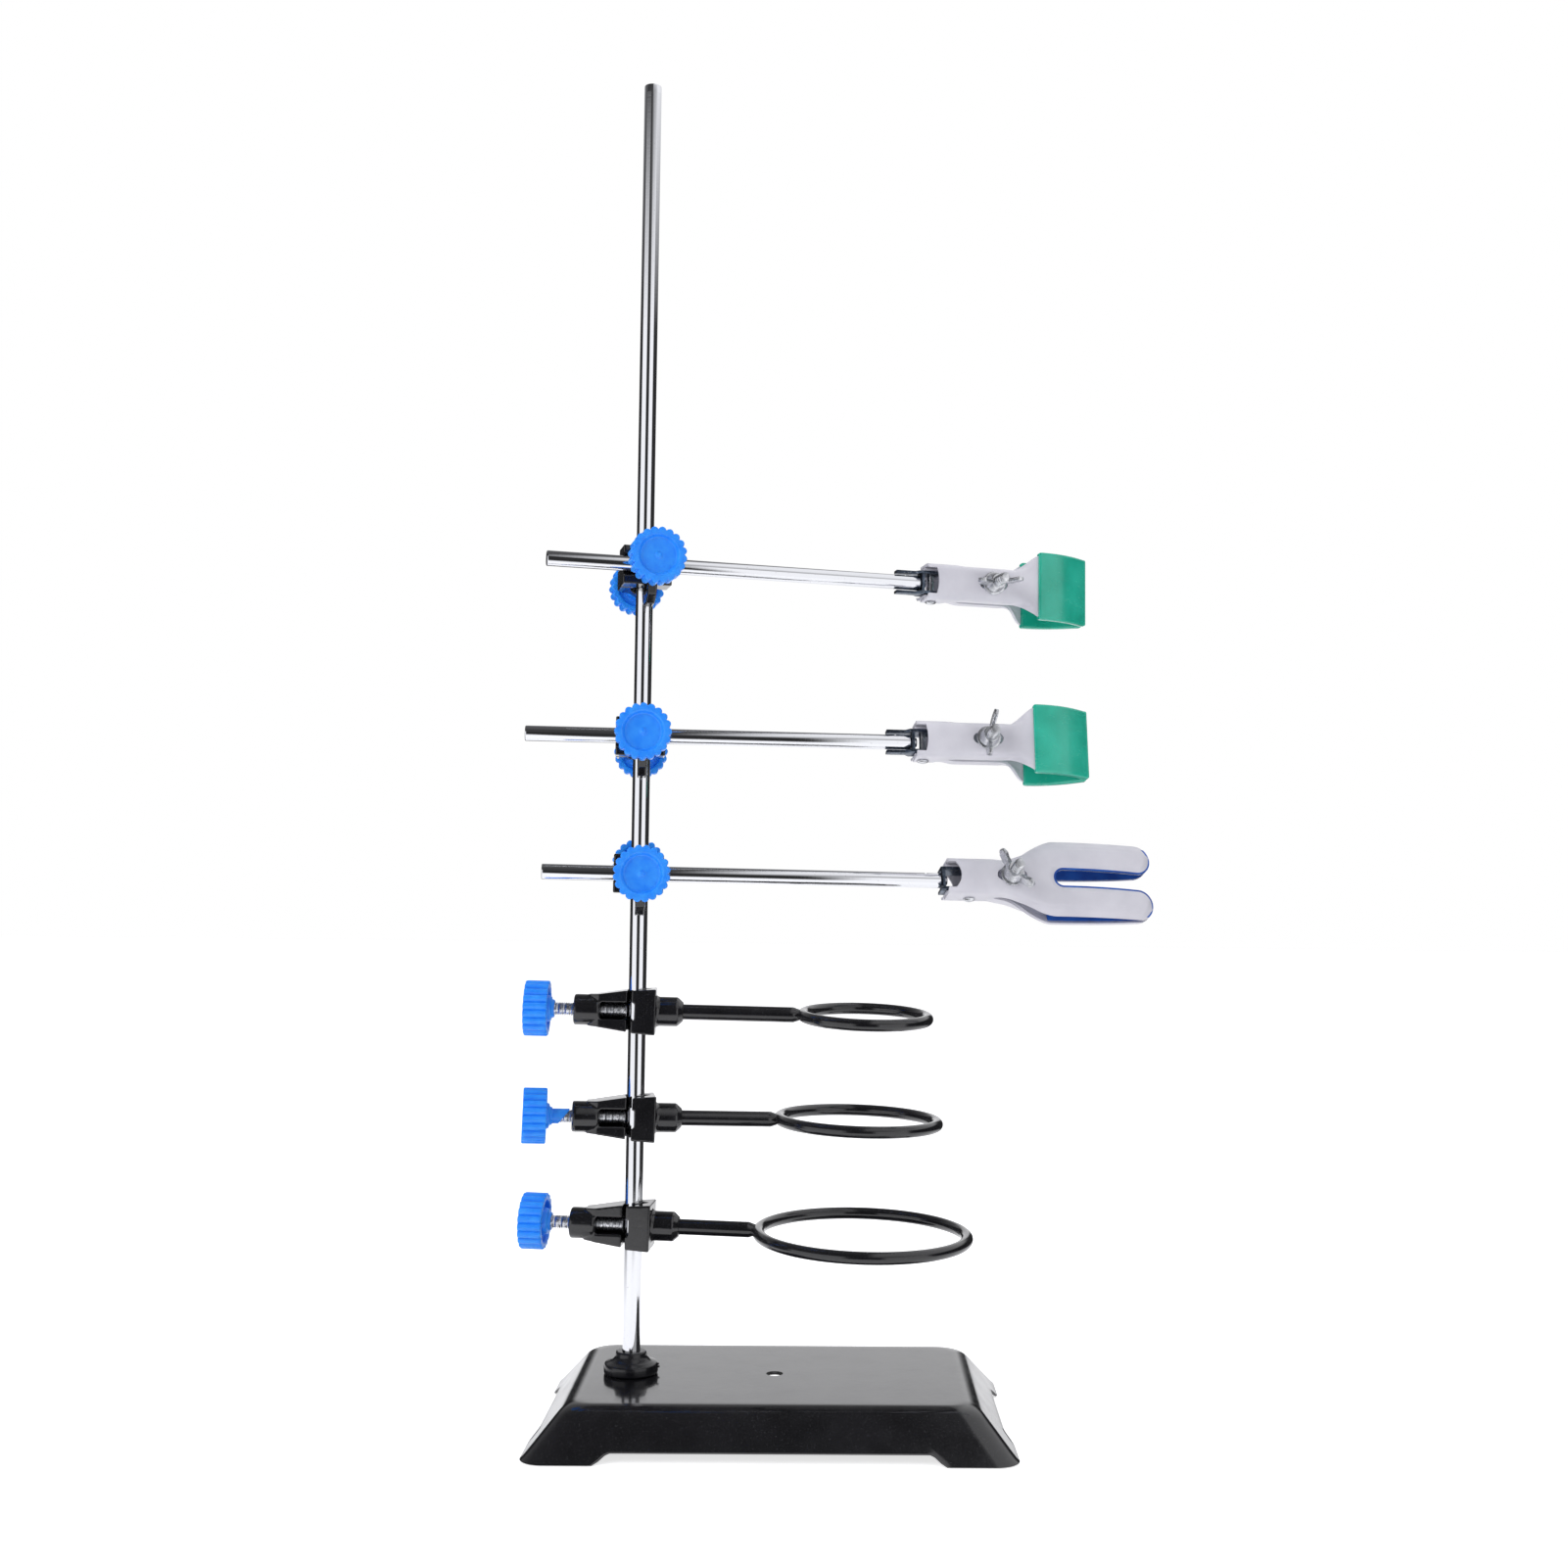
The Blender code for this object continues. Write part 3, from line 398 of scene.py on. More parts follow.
    @staticmethod
    def bevelled(mesh: bpy.types.Mesh, width: float, segments: int = 2,
                 angle: float = 30.0) -> bpy.types.Mesh:
        """Return mesh with its sharp edges rounded."""
        obj = Mesh.holder(mesh)
        bevel = obj.modifiers.new("Edges", "BEVEL")
        bevel.width = width
        bevel.segments = segments
        bevel.limit_method = "ANGLE"
        bevel.angle_limit = math.radians(angle)
        bevel.use_clamp_overlap = True
        bevel.harden_normals = False
        return Mesh.applied(obj)

    @staticmethod
    def cast(mesh: bpy.types.Mesh, voxel: float, passes: int = 4) -> bpy.types.Mesh:
        """Return mesh as a casting: one skin with soft corners and blended joins.

        Args:
            mesh: A closed shape.
            voxel: The remesh size in metres.
            passes: How often the skin is smoothed.
        """
        obj = Mesh.holder(mesh)
        remesh = obj.modifiers.new("Skin", "REMESH")
        remesh.mode = "VOXEL"
        remesh.voxel_size = voxel
        soft = obj.modifiers.new("Soft", "SMOOTH")
        soft.factor = 0.5
        soft.iterations = passes
        return Mesh.applied(obj)

    @staticmethod
    def sealed(mesh: bpy.types.Mesh) -> bpy.types.Mesh:
        """Return a mesh with any small gap in its skin closed."""
        bm = bmesh.new()
        bm.from_mesh(mesh)
        for reach in (2e-6, 1e-5, 4e-5):
            gaps = [edge for edge in bm.edges if edge.is_boundary]
            if not gaps:
                break
            verts = list({vert for edge in gaps for vert in edge.verts})
            bmesh.ops.remove_doubles(bm, verts=verts, dist=reach)
            gaps = [edge for edge in bm.edges if edge.is_boundary]
            bmesh.ops.holes_fill(bm, edges=gaps, sides=0)
        bm.to_mesh(mesh)
        bm.free()
        return mesh

    @staticmethod
    def joined(*meshes: bpy.types.Mesh) -> bpy.types.Mesh:
        """Return several meshes as one."""
        bm = bmesh.new()
        for mesh in meshes:
            bm.from_mesh(mesh)
        mesh = bpy.data.meshes.new("mesh")
        bm.to_mesh(mesh)
        bm.free()
        return mesh


# ---------------------------------------------------------------- geometry nodes

class NodeTree:
    """A small wrapper that adds and links nodes."""

    def __init__(self, tree: bpy.types.NodeTree) -> None:
        """Wrap tree."""
        self.tree = tree

    def add(self, kind: str, inputs: Optional[dict] = None, **settings: object) -> bpy.types.Node:
        """Return a new node.

        Args:
            kind: The node's type name.
            inputs: Socket name or index to a value, or to a socket to link from.
            settings: Attributes to set first.
        """
        node = self.tree.nodes.new(kind)
        for key, value in settings.items():
            setattr(node, key, value)
        for key, value in (inputs or {}).items():
            socket = node.inputs[key]
            if isinstance(value, bpy.types.NodeSocket):
                self.tree.links.new(value, socket)
            else:
                socket.default_value = value
        return node

    def math(self, operation: str, a: object, b: object = 0.0, c: object = 0.0,
             clamp: bool = False) -> bpy.types.NodeSocket:
        """Return the result socket of one math node."""
        node = self.add("ShaderNodeMath", {0: a, 1: b, 2: c}, operation=operation, use_clamp=clamp)
        return node.outputs[0]


class NodeGroup:
    """A Geometry Nodes group with a named input for each of its sizes."""

    SIZES: tuple[str, ...] = ()

    def __init__(self, name: str) -> None:
        """Build the group's sockets and nodes."""
        self.tree = bpy.data.node_groups.new(name, "GeometryNodeTree")
        sockets = self.tree.interface
        sockets.new_socket("Geometry", in_out="INPUT", socket_type="NodeSocketGeometry")
        for size in self.SIZES:
            sockets.new_socket(size, in_out="INPUT", socket_type="NodeSocketFloat")
        sockets.new_socket("Finish", in_out="INPUT", socket_type="NodeSocketMaterial")
        sockets.new_socket("Geometry", in_out="OUTPUT", socket_type="NodeSocketGeometry")
        self.kit = NodeTree(self.tree)
        self.start = self.kit.add("NodeGroupInput")
        shade = self.kit.add("GeometryNodeSetShadeSmooth", {0: self.made()})
        real = self.kit.add("GeometryNodeRealizeInstances", {0: shade.outputs[0]})
        paint = self.kit.add("GeometryNodeSetMaterial",
                             {0: real.outputs[0], "Material": self.start.outputs["Finish"]})
        self.kit.add("NodeGroupOutput", {0: paint.outputs[0]})

    def made(self) -> bpy.types.NodeSocket:
        """Return the group's geometry."""
        raise NotImplementedError

    def run(self, mesh: bpy.types.Mesh, finish: bpy.types.Material,
            sizes: dict[str, float]) -> bpy.types.Mesh:
        """Return mesh after the group has worked on it.

        Args:
            mesh: What the group starts from.
            finish: The material for its Finish input.
            sizes: A value for each size input, by name.
        """
        obj = Mesh.holder(mesh)
        modifier = obj.modifiers.new("Nodes", "NODES")
        modifier.node_group = self.tree
        values = {**sizes, "Finish": finish}
        for item in self.tree.interface.items_tree:
            if item.in_out == "INPUT" and item.name in values:
                modifier[item.identifier] = values[item.name]
        return Mesh.applied(obj)


class ThreadGroup(NodeGroup):
    """Sweeps a helical thread round a core along +Z from the origin."""

    SIZES = ("Length", "Crest Radius", "Pitch")
    SINK = 0.28 * MM
    RIDGE = 0.36 * MM
    CORE = 0.32 * MM

    def made(self) -> bpy.types.NodeSocket:
        """Return the core joined to its thread."""
        kit = self.kit
        length, crest, pitch = (self.start.outputs[size] for size in self.SIZES)
        turns = kit.math("SUBTRACT", kit.math("DIVIDE", length, pitch), 1.0)
        radius = kit.math("SUBTRACT", crest, self.SINK)
        spiral = kit.add("GeometryNodeCurveSpiral", {
            "Resolution": 28, "Rotations": turns, "Start Radius": radius,
            "End Radius": radius, "Height": kit.math("SUBTRACT", length, pitch)})
        section = kit.add("GeometryNodeCurvePrimitiveCircle",
                          {"Resolution": 5, "Radius": self.RIDGE})
        sweep = kit.add("GeometryNodeCurveToMesh", {
            "Curve": spiral.outputs[0], "Profile Curve": section.outputs[0], "Fill Caps": True})
        rise = kit.add("ShaderNodeCombineXYZ", {2: kit.math("MULTIPLY", pitch, 0.5)})
        place = kit.add("GeometryNodeTransform",
                        {"Geometry": sweep.outputs[0], "Translation": rise.outputs[0]})
        both = kit.add("GeometryNodeJoinGeometry")
        kit.tree.links.new(place.outputs[0], both.inputs[0])
        kit.tree.links.new(self.start.outputs["Geometry"], both.inputs[0])
        return both.outputs[0]


class ScallopGroup(NodeGroup):
    """Presses scallops into the rim of a shape turned about Z."""

    SIZES = ("Count", "Depth", "Inner Radius", "Outer Radius")

    def made(self) -> bpy.types.NodeSocket:
        """Return the scalloped geometry."""
        kit = self.kit
        count, depth, inner, outer = (self.start.outputs[size] for size in self.SIZES)
        position = kit.add("GeometryNodeInputPosition")
        parts = kit.add("ShaderNodeSeparateXYZ", {0: position.outputs[0]})
        x, y = parts.outputs[0], parts.outputs[1]
        turn = kit.math("MULTIPLY", kit.math("ARCTAN2", y, x), kit.math("MULTIPLY", count, 0.5))
        wave = kit.math("ABSOLUTE", kit.math("SINE", turn))
        dip = kit.math("SUBTRACT", 1.0, kit.math("POWER", wave, 0.8))
        radius = kit.math("SQRT", kit.math("ADD", kit.math("MULTIPLY", x, x),
                                           kit.math("MULTIPLY", y, y)))
        ramp = kit.add("ShaderNodeMapRange", {
            "Value": radius, "From Min": inner, "From Max": outer,
            "To Min": 0.0, "To Max": depth}, interpolation_type="SMOOTHSTEP")
        amount = kit.math("MULTIPLY", kit.math("MULTIPLY", dip, ramp.outputs[0]), -1.0)
        flat = kit.add("ShaderNodeCombineXYZ", {0: x, 1: y}).outputs[0]
        unit = kit.add("ShaderNodeVectorMath", {0: flat}, operation="NORMALIZE")
        offset = kit.add("ShaderNodeVectorMath", {0: unit.outputs[0], "Scale": amount},
                         operation="SCALE")
        move = kit.add("GeometryNodeSetPosition", {
            "Geometry": self.start.outputs["Geometry"], "Offset": offset.outputs[0]})
        return move.outputs[0]


# ---------------------------------------------------------------- materials

class Finish(Enum):
    """The stand's finishes, by the record's material slots."""

    ENAMEL = "enamel"
    CHROME = "chrome"
    ZINC = "zinc"
    DARK_ZINC = "dark_zinc"
    PAINT = "grey_paint"
    KNOB = "blue_plastic"
    COLLAR = "black_plastic"
    SLEEVE = "green_sleeve"
    LINING = "blue_lining"


def linear(red: int, green: int, blue: int) -> Colour:
    """Return an 8-bit display colour as a linear RGBA value."""
    def one(value: int) -> float:
        share = value / 255
        return share / 12.92 if share <= 0.04045 else ((share + 0.055) / 1.055) ** 2.4
    return one(red), one(green), one(blue), 1.0


class Surface:
    """The shader and object coordinates that a finish is built on."""

    def __init__(self, name: str) -> None:
        """Start a material called name."""
        self.material = bpy.data.materials.new(name)
        self.material.use_nodes = True
        self.kit = NodeTree(self.material.node_tree)
        self.shader = self.material.node_tree.nodes["Principled BSDF"]
        self.where = self.kit.add("ShaderNodeTexCoord").outputs["Object"]

    def noise(self, scale: float, detail: float = 3.0, rough: float = 0.5,
              stretch: Sequence[float] = (1, 1, 1)) -> bpy.types.NodeSocket:
        """Return a noise value, stretched along the axes by stretch."""
        mapped = self.kit.add("ShaderNodeMapping", {"Vector": self.where, "Scale": stretch})
        node = self.kit.add("ShaderNodeTexNoise", {
            "Vector": mapped.outputs[0], "Scale": scale, "Detail": detail, "Roughness": rough})
        return node.outputs[0]

    def carried(self, value: bpy.types.NodeSocket, low: float, high: float,
                start: float = 0.3, end: float = 0.7) -> bpy.types.NodeSocket:
        """Return value between start and end carried to low and high."""
        node = self.kit.add("ShaderNodeMapRange", {
            "Value": value, "From Min": start, "From Max": end, "To Min": low, "To Max": high})
        return node.outputs[0]

    def mixed(self, share: object, a: object, b: object) -> bpy.types.NodeSocket:
        """Return a colour between a and b."""
        return self.kit.add("ShaderNodeMix", {0: share, 6: a, 7: b}, data_type="RGBA").outputs[2]

    def tinted(self, tone: bpy.types.NodeSocket, low: Colour,
               high: Colour) -> bpy.types.NodeSocket:
        """Return the colour between low and high that a noise value picks."""
        return self.mixed(self.carried(tone, 0.0, 1.0), low, high)

    def link(self, value: bpy.types.NodeSocket, name: str) -> None:
        """Drive one of the shader's inputs."""
        self.kit.tree.links.new(value, self.shader.inputs[name])

    def fix(self, **values: object) -> None:
        """Set the shader's inputs, by their names with underscores for spaces."""
        for name, value in values.items():
            self.shader.inputs[name.replace("_", " ")].default_value = value

    def bump(self, height: bpy.types.NodeSocket, strength: float, distance: float) -> None:
        """Give the shader a bump."""
        node = self.kit.add("ShaderNodeBump", {
            "Height": height, "Strength": strength, "Distance": distance})
        self.link(node.outputs[0], "Normal")


@dataclass(frozen=True)
class Enamel:
    """Gloss black stove enamel with orange peel and a little dust."""

    name: str = "gloss_black_enamel"
    low: Colour = (0.0055, 0.0055, 0.0065, 1)
    high: Colour = (0.010, 0.010, 0.012, 1)
    dust: Colour = (0.30, 0.30, 0.32, 1)

    def dress(self, on: Surface) -> None:
        """Build the finish."""
        peel = on.noise(420, 2.0)
        patch = on.noise(60, 5.0, 0.6)
        specks = on.carried(on.noise(1900, 2.0), 0.0, 1.0, 0.62, 0.74)
        colour = on.tinted(patch, self.low, self.high)
        on.link(on.mixed(on.kit.math("MULTIPLY", specks, 0.10), colour, self.dust), "Base Color")
        on.link(on.carried(patch, 0.10, 0.20), "Roughness")
        on.fix(Specular_IOR_Level=0.55, Coat_Weight=0.35, Coat_Roughness=0.05)
        on.bump(peel, 0.12, 0.0002)


@dataclass(frozen=True)
class Chrome:
    """Bright chrome plate with faint polishing lines and a few pits."""

    name: str = "bright_chrome"
    bright: Colour = (0.80, 0.81, 0.84, 1)
    pitted: Colour = (0.30, 0.30, 0.33, 1)

    def dress(self, on: Surface) -> None:
        """Build the finish."""
        lines = on.noise(700, 4.0, 0.6, (1, 1, 0.02))
        across = on.noise(700, 4.0, 0.6, (0.02, 1, 1))
        haze = on.noise(40, 5.0, 0.6)
        pits = on.carried(on.noise(1300, 1.0), 0.0, 1.0, 0.72, 0.80)
        share = on.kit.math("MULTIPLY", pits, 0.6)
        on.link(on.mixed(share, self.bright, self.pitted), "Base Color")
        on.fix(Metallic=1.0)
        grain = on.kit.math("MULTIPLY", on.carried(lines, 0.0, 1.0), 0.02)
        on.link(on.kit.math("ADD", on.carried(haze, 0.03, 0.075), grain), "Roughness")
        on.bump(on.kit.math("ADD", lines, across), 0.05, 0.0001)


@dataclass(frozen=True)
class Zinc:
    """Bright zinc plate, cloudy and slightly blue."""

    name: str = "zinc_plate"
    low: Colour = linear(178, 181, 186)
    high: Colour = linear(236, 237, 240)

    def dress(self, on: Surface) -> None:
        """Build the finish."""
        cloud = on.noise(420, 5.0, 0.65)
        on.link(on.tinted(cloud, self.low, self.high), "Base Color")
        on.fix(Metallic=1.0)
        on.link(on.carried(cloud, 0.38, 0.22), "Roughness")
        on.bump(on.noise(2600, 2.0), 0.18, 0.0001)


@dataclass(frozen=True)
class DarkZinc:
    """Dark blue-grey zinc plate with worn bright patches."""

    name: str = "dark_zinc_plate"
    low: Colour = linear(58, 66, 78)
    high: Colour = linear(110, 122, 138)
    bare: Colour = linear(190, 196, 205)

    def dress(self, on: Surface) -> None:
        """Build the finish."""
        cloud = on.noise(300, 5.0, 0.65)
        worn = on.carried(on.noise(900, 3.0), 0.0, 1.0, 0.58, 0.70)
        colour = on.tinted(cloud, self.low, self.high)
        on.link(on.mixed(on.kit.math("MULTIPLY", worn, 0.5), colour, self.bare), "Base Color")
        on.fix(Metallic=1.0)
        on.link(on.carried(cloud, 0.42, 0.26), "Roughness")
        on.bump(cloud, 0.15, 0.0002)


@dataclass(frozen=True)
class Paint:
    """Pale grey powder coat with fine orange peel."""

    name: str = "pale_grey_paint"
    low: Colour = linear(203, 202, 211)
    high: Colour = linear(216, 215, 223)

    def dress(self, on: Surface) -> None:
        """Build the finish."""
        tone = on.noise(70, 4.0)
        on.link(on.tinted(tone, self.low, self.high), "Base Color")
        on.link(on.carried(tone, 0.30, 0.40), "Roughness")
        on.fix(Coat_Weight=0.25, Coat_Roughness=0.15)
        on.bump(on.noise(650, 3.0), 0.20, 0.0002)


@dataclass(frozen=True)
class KnobPlastic:
    """Azure moulded plastic with flow marks and a fine satin grain."""

    name: str = "azure_plastic"
    low: Colour = linear(24, 132, 250)
    high: Colour = linear(48, 154, 255)

    def dress(self, on: Surface) -> None:
        """Build the finish."""
        flow = on.noise(240, 5.0, 0.6)
        on.link(on.tinted(flow, self.low, self.high), "Base Color")
        on.link(on.carried(flow, 0.30, 0.42), "Roughness")
        on.fix(Subsurface_Weight=0.12, Subsurface_Radius=(0.3, 0.6, 1.0), Subsurface_Scale=0.002)
        on.bump(on.noise(3000, 2.0), 0.10, 0.0001)


@dataclass(frozen=True)
class CollarPlastic:
    """Glossy black moulded plastic with faint flow marks."""

    name: str = "black_moulded_plastic"
    low: Colour = (0.006, 0.006, 0.008, 1)
    high: Colour = (0.014, 0.014, 0.017, 1)

    def dress(self, on: Surface) -> None:
        """Build the finish."""
        flow = on.noise(200, 4.0, 0.6)
        on.link(on.tinted(flow, self.low, self.high), "Base Color")
        on.link(on.carried(flow, 0.16, 0.28), "Roughness")
        on.bump(flow, 0.10, 0.0002)


@dataclass(frozen=True)
class SleevePlastic:
    """Glossy green dipped plastic, slightly clear, with runs along it."""

    name: str = "green_dipped_plastic"
    low: Colour = linear(18, 160, 134)
    high: Colour = linear(44, 184, 158)

    def dress(self, on: Surface) -> None:
        """Build the finish."""
        runs = on.noise(260, 4.0, 0.6, (0.5, 0.5, 1))
        on.link(on.tinted(on.noise(60, 3.0), self.low, self.high), "Base Color")
        on.link(on.carried(runs, 0.18, 0.30), "Roughness")
        on.fix(Subsurface_Weight=0.25, Subsurface_Radius=(0.2, 1.0, 0.8), Subsurface_Scale=0.002,
               Coat_Weight=0.4, Coat_Roughness=0.08)
        on.bump(runs, 0.12, 0.0004)


@dataclass(frozen=True)
class LiningPlastic:
    """Deep blue soft plastic with a matt grain."""

    name: str = "blue_soft_plastic"
    low: Colour = linear(14, 66, 150)
    high: Colour = linear(30, 92, 182)

    def dress(self, on: Surface) -> None:
        """Build the finish."""
        on.link(on.tinted(on.noise(120, 4.0), self.low, self.high), "Base Color")
        on.fix(Roughness=0.5)
        on.bump(on.noise(1500, 3.0), 0.25, 0.0002)


RECIPES = {
    Finish.ENAMEL: Enamel(),
    Finish.CHROME: Chrome(),
    Finish.ZINC: Zinc(),
    Finish.DARK_ZINC: DarkZinc(),
    Finish.PAINT: Paint(),
    Finish.KNOB: KnobPlastic(),
    Finish.COLLAR: CollarPlastic(),
    Finish.SLEEVE: SleevePlastic(),
    Finish.LINING: LiningPlastic(),
}


class Palette:
    """Makes and keeps one procedural material per finish."""

    def __init__(self) -> None:
        """Start with no materials made."""
        self._made: dict[Finish, bpy.types.Material] = {}

    def get(self, finish: Finish) -> bpy.types.Material:
        """Return the material for a finish, making it on first use."""
        if finish not in self._made:
            recipe = RECIPES[finish]
            surface = Surface(recipe.name)
            recipe.dress(surface)
            self._made[finish] = surface.material
        return self._made[finish]


# ---------------------------------------------------------------- pieces

class Workshop:
    """Turns meshes into finished pieces that ride on the frame's bodies."""

    def __init__(self, palette: Palette) -> None:
        """Keep the palette and build the node groups."""
        self.palette = palette
        self.threads = ThreadGroup("thread")
        self.scallops = ScallopGroup("scallops")

    def threaded(self, length: float, crest: float, pitch: float) -> bpy.types.Mesh:
        """Return a threaded shank along +Z from the origin.

        Args:
            length: Length of the thread in metres.
            crest: Radius over the thread's crests.
            pitch: Rise per turn.
        """
        core = Mesh.bar(crest - ThreadGroup.CORE, 0, length, 0.4 * MM, 32)
        return self.threads.run(core, self.palette.get(Finish.ZINC), {
            "Length": length, "Crest Radius": crest, "Pitch": pitch})

    def add(self, node: str, body: str, mesh: bpy.types.Mesh, finish: Finish, place: Matrix,
            angle: float = 35.0) -> bpy.types.Object:
        """Return a finished piece that stands for one CAD node.

        Args:
            node: The CAD node it replaces.
            body: The body it rides on.
            mesh: Its mesh, in its carrier's axes.
            finish: Its finish.
            place: The carrier's matrix.
            angle: Edges sharper than this stay sharp.
        """
        mesh = Mesh.moved(Mesh.sealed(mesh.copy()), place)
        mesh.name = f"{node}_look"
        mesh.materials.clear()
        mesh.materials.append(self.palette.get(finish))
        obj = bpy.data.objects.new(f"{node}_look", mesh)
        bpy.context.scene.collection.objects.link(obj)
        mesh.shade_smooth()
        mesh.set_sharp_from_angle(angle=math.radians(angle))
        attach(obj, body)
        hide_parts(node)
        LOG.info("%s: %d faces", obj.name, len(mesh.polygons))
        return obj


@dataclass
class BaseBuilder:
    """Builds the base, the rod and the collar."""

    shop: Workshop
    place: Matrix
    size: Base = Base()

    def build(self) -> None:
        """Add the three pieces."""
        self.shop.add("base", "stand", self._base(), Finish.ENAMEL, self.place, 50)
        self.shop.add("rod", "stand", self._rod(), Finish.CHROME, self.place)
        self.shop.add("rod_collar", "stand", self._collar(), Finish.COLLAR, self.place)

    def _outline(self, half_x: float, half_y: float, corner: float) -> list[Point2]:
        """Return a rounded rectangle whose points sit at the same shares for every size."""
        points: list[Point2] = []
        corners = ((1, -1, -90), (1, 1, 0), (-1, 1, 90), (-1, -1, 180))
        for index, (sx, sy, first) in enumerate(corners):
            cx, cy = sx * (half_x - corner), sy * (half_y - corner)
            for i in range(13):
                a = math.radians(first + 90 * i / 12)
                points.append((cx + corner * math.cos(a), cy + corner * math.sin(a)))
            nx, ny, _ = corners[(index + 1) % 4]
            turn = math.radians(first + 90)
            here = points[-1]
            there = (nx * (half_x - corner) + corner * math.cos(turn),
                     ny * (half_y - corner) + corner * math.sin(turn))
            count = self.size.end_steps if index % 2 == 0 else self.size.side_steps
            for i in range(1, count):
                t = i / count
                points.append((here[0] + (there[0] - here[0]) * t,
                               here[1] + (there[1] - here[1]) * t))
        return points

    def _arch(self, x: float, y: float) -> float:
        """Return the height of the skirt's lower edge at a point of its foot line."""
        def lift(along: float, half: float) -> float:
            return smooth(half - self.size.foot - abs(along), 0, self.size.ramp)
        near_side = abs(y) > self.size.width / 2 - 6 * MM
        near_end = abs(x) > self.size.length / 2 - 6 * MM
        rise = 0.0
        if near_side:
            rise = max(rise, lift(x, self.size.length / 2))
        if near_end:
            rise = max(rise, lift(y, self.size.width / 2))
        return self.size.arch * rise

    def _skin(self, inset: float) -> list[list[Vector]]:
        """Return the pan's outside, or its inside when inset by the wall, from top to rim."""
        top_x, top_y = self.size.top_length / 2, self.size.top_width / 2
        low_x, low_y = self.size.length / 2, self.size.width / 2
        height = self.size.height - inset
        slope_x, slope_y = (low_x - top_x) / self.size.height, (low_y - top_y) / self.size.height
        rows = []
        for share in (0.02, 0.3, 0.6, 0.85):
            flat = self._outline(top_x * share, top_y * share, 5 * MM * share)
            rows.append([Vector((x, y, height)) for x, y in flat])
        edge = self.size.edge
        bends = [i / 7 for i in range(8)]
        levels = [(-(1 - t) ** 2 * edge, -t * t * edge * 0.75) for t in bends]
        for out, down in levels:
            grow_x = out if out < 0 else 0.0
            drop = -down
            flat = self._outline(top_x + grow_x + drop * slope_x - inset * 0.8,
                                 top_y + grow_x + drop * slope_y - inset * 0.8, 9 * MM)
            rows.append([Vector((x, y, height + down)) for x, y in flat])
        foot = self._outline(low_x, low_y, 10 * MM)
        start = edge * 0.75
        for t in (0.15, 0.3, 0.45, 0.6, 0.75, 0.9, 1.0):
            row = []
            for (x, y) in foot:
                end = self.size.height - self._arch(x, y)
                drop = start + (end - start) * t
                spot = drop / self.size.height
                row.append((spot, self.size.height - drop))
            shape_low = self._outline(low_x - inset, low_y - inset, 10 * MM)
            shape_top = self._outline(top_x - inset, top_y - inset, 9 * MM)
            points = []
            for (spot, z), low, high in zip(row, shape_low, shape_top):
                points.append(Vector((high[0] + (low[0] - high[0]) * spot,
                                      high[1] + (low[1] - high[1]) * spot, z)))
            rows.append(points)
        return rows

    def _base(self) -> bpy.types.Mesh:
        """Return the pressed pan with its arches, rounded rim, welded nut and two holes."""
        outside = self._skin(0.0)
        inside = self._skin(self.size.wall)
        lip = []
        for out, inn in zip(outside[-1], inside[-1]):
            lip.append((out + inn) / 2 - Vector((0, 0, 0.5 * MM)))
        for point in lip:
            point.z = max(point.z, 0.0)
        for row in (outside[-1], inside[-1]):
            for point in row:
                point.z += 0.35 * MM
        rows = outside + [lip] + inside[::-1]
        bm = Mesh.grid(rows, around=True)
        bm.faces.new(self._ring(bm, 0, rows))
        bm.faces.new(self._ring(bm, len(rows) - 1, rows))
        pan = Mesh.of(bm)
        across = 7.5 * MM
        top = self.size.height - 0.8 * MM
        nut = Mesh.lathe([(0, top), (across, top), (across, top - 5 * MM), (0, top - 5 * MM)], 6)
        rod_x = -self.size.from_rod
        clear = Rod.radius + 0.2 * MM
        mesh = Mesh.combined(
            pan, ("UNION", Mesh.moved(nut, shift(rod_x))),
            ("DIFFERENCE", Mesh.moved(Mesh.bar(clear, 8 * MM, 30 * MM, 0, 32), shift(rod_x))),
            ("DIFFERENCE", Mesh.bar(self.size.hole, 8 * MM, 30 * MM, 0, 40)))
        return Mesh.moved(mesh, shift(self.size.from_rod))

    def _ring(self, bm: bmesh.types.BMesh, index: int, rows: Sequence) -> list[bmesh.types.BMVert]:
        """Return the vertices of one row of a grid."""
        bm.verts.ensure_lookup_table()
        count = len(rows[0])
        return [bm.verts[index * count + i] for i in range(count)]

    def _rod(self) -> bpy.types.Mesh:
        """Return the rod with its softened top edge."""
        edge = Mesh.rounded([(0, Rod.top), (Rod.radius, Rod.top), (Rod.radius, Rod.top - 4 * MM)],
                            0.6 * MM)
        return Mesh.lathe(edge + [(Rod.radius, Rod.bottom), (0, Rod.bottom)], 96)

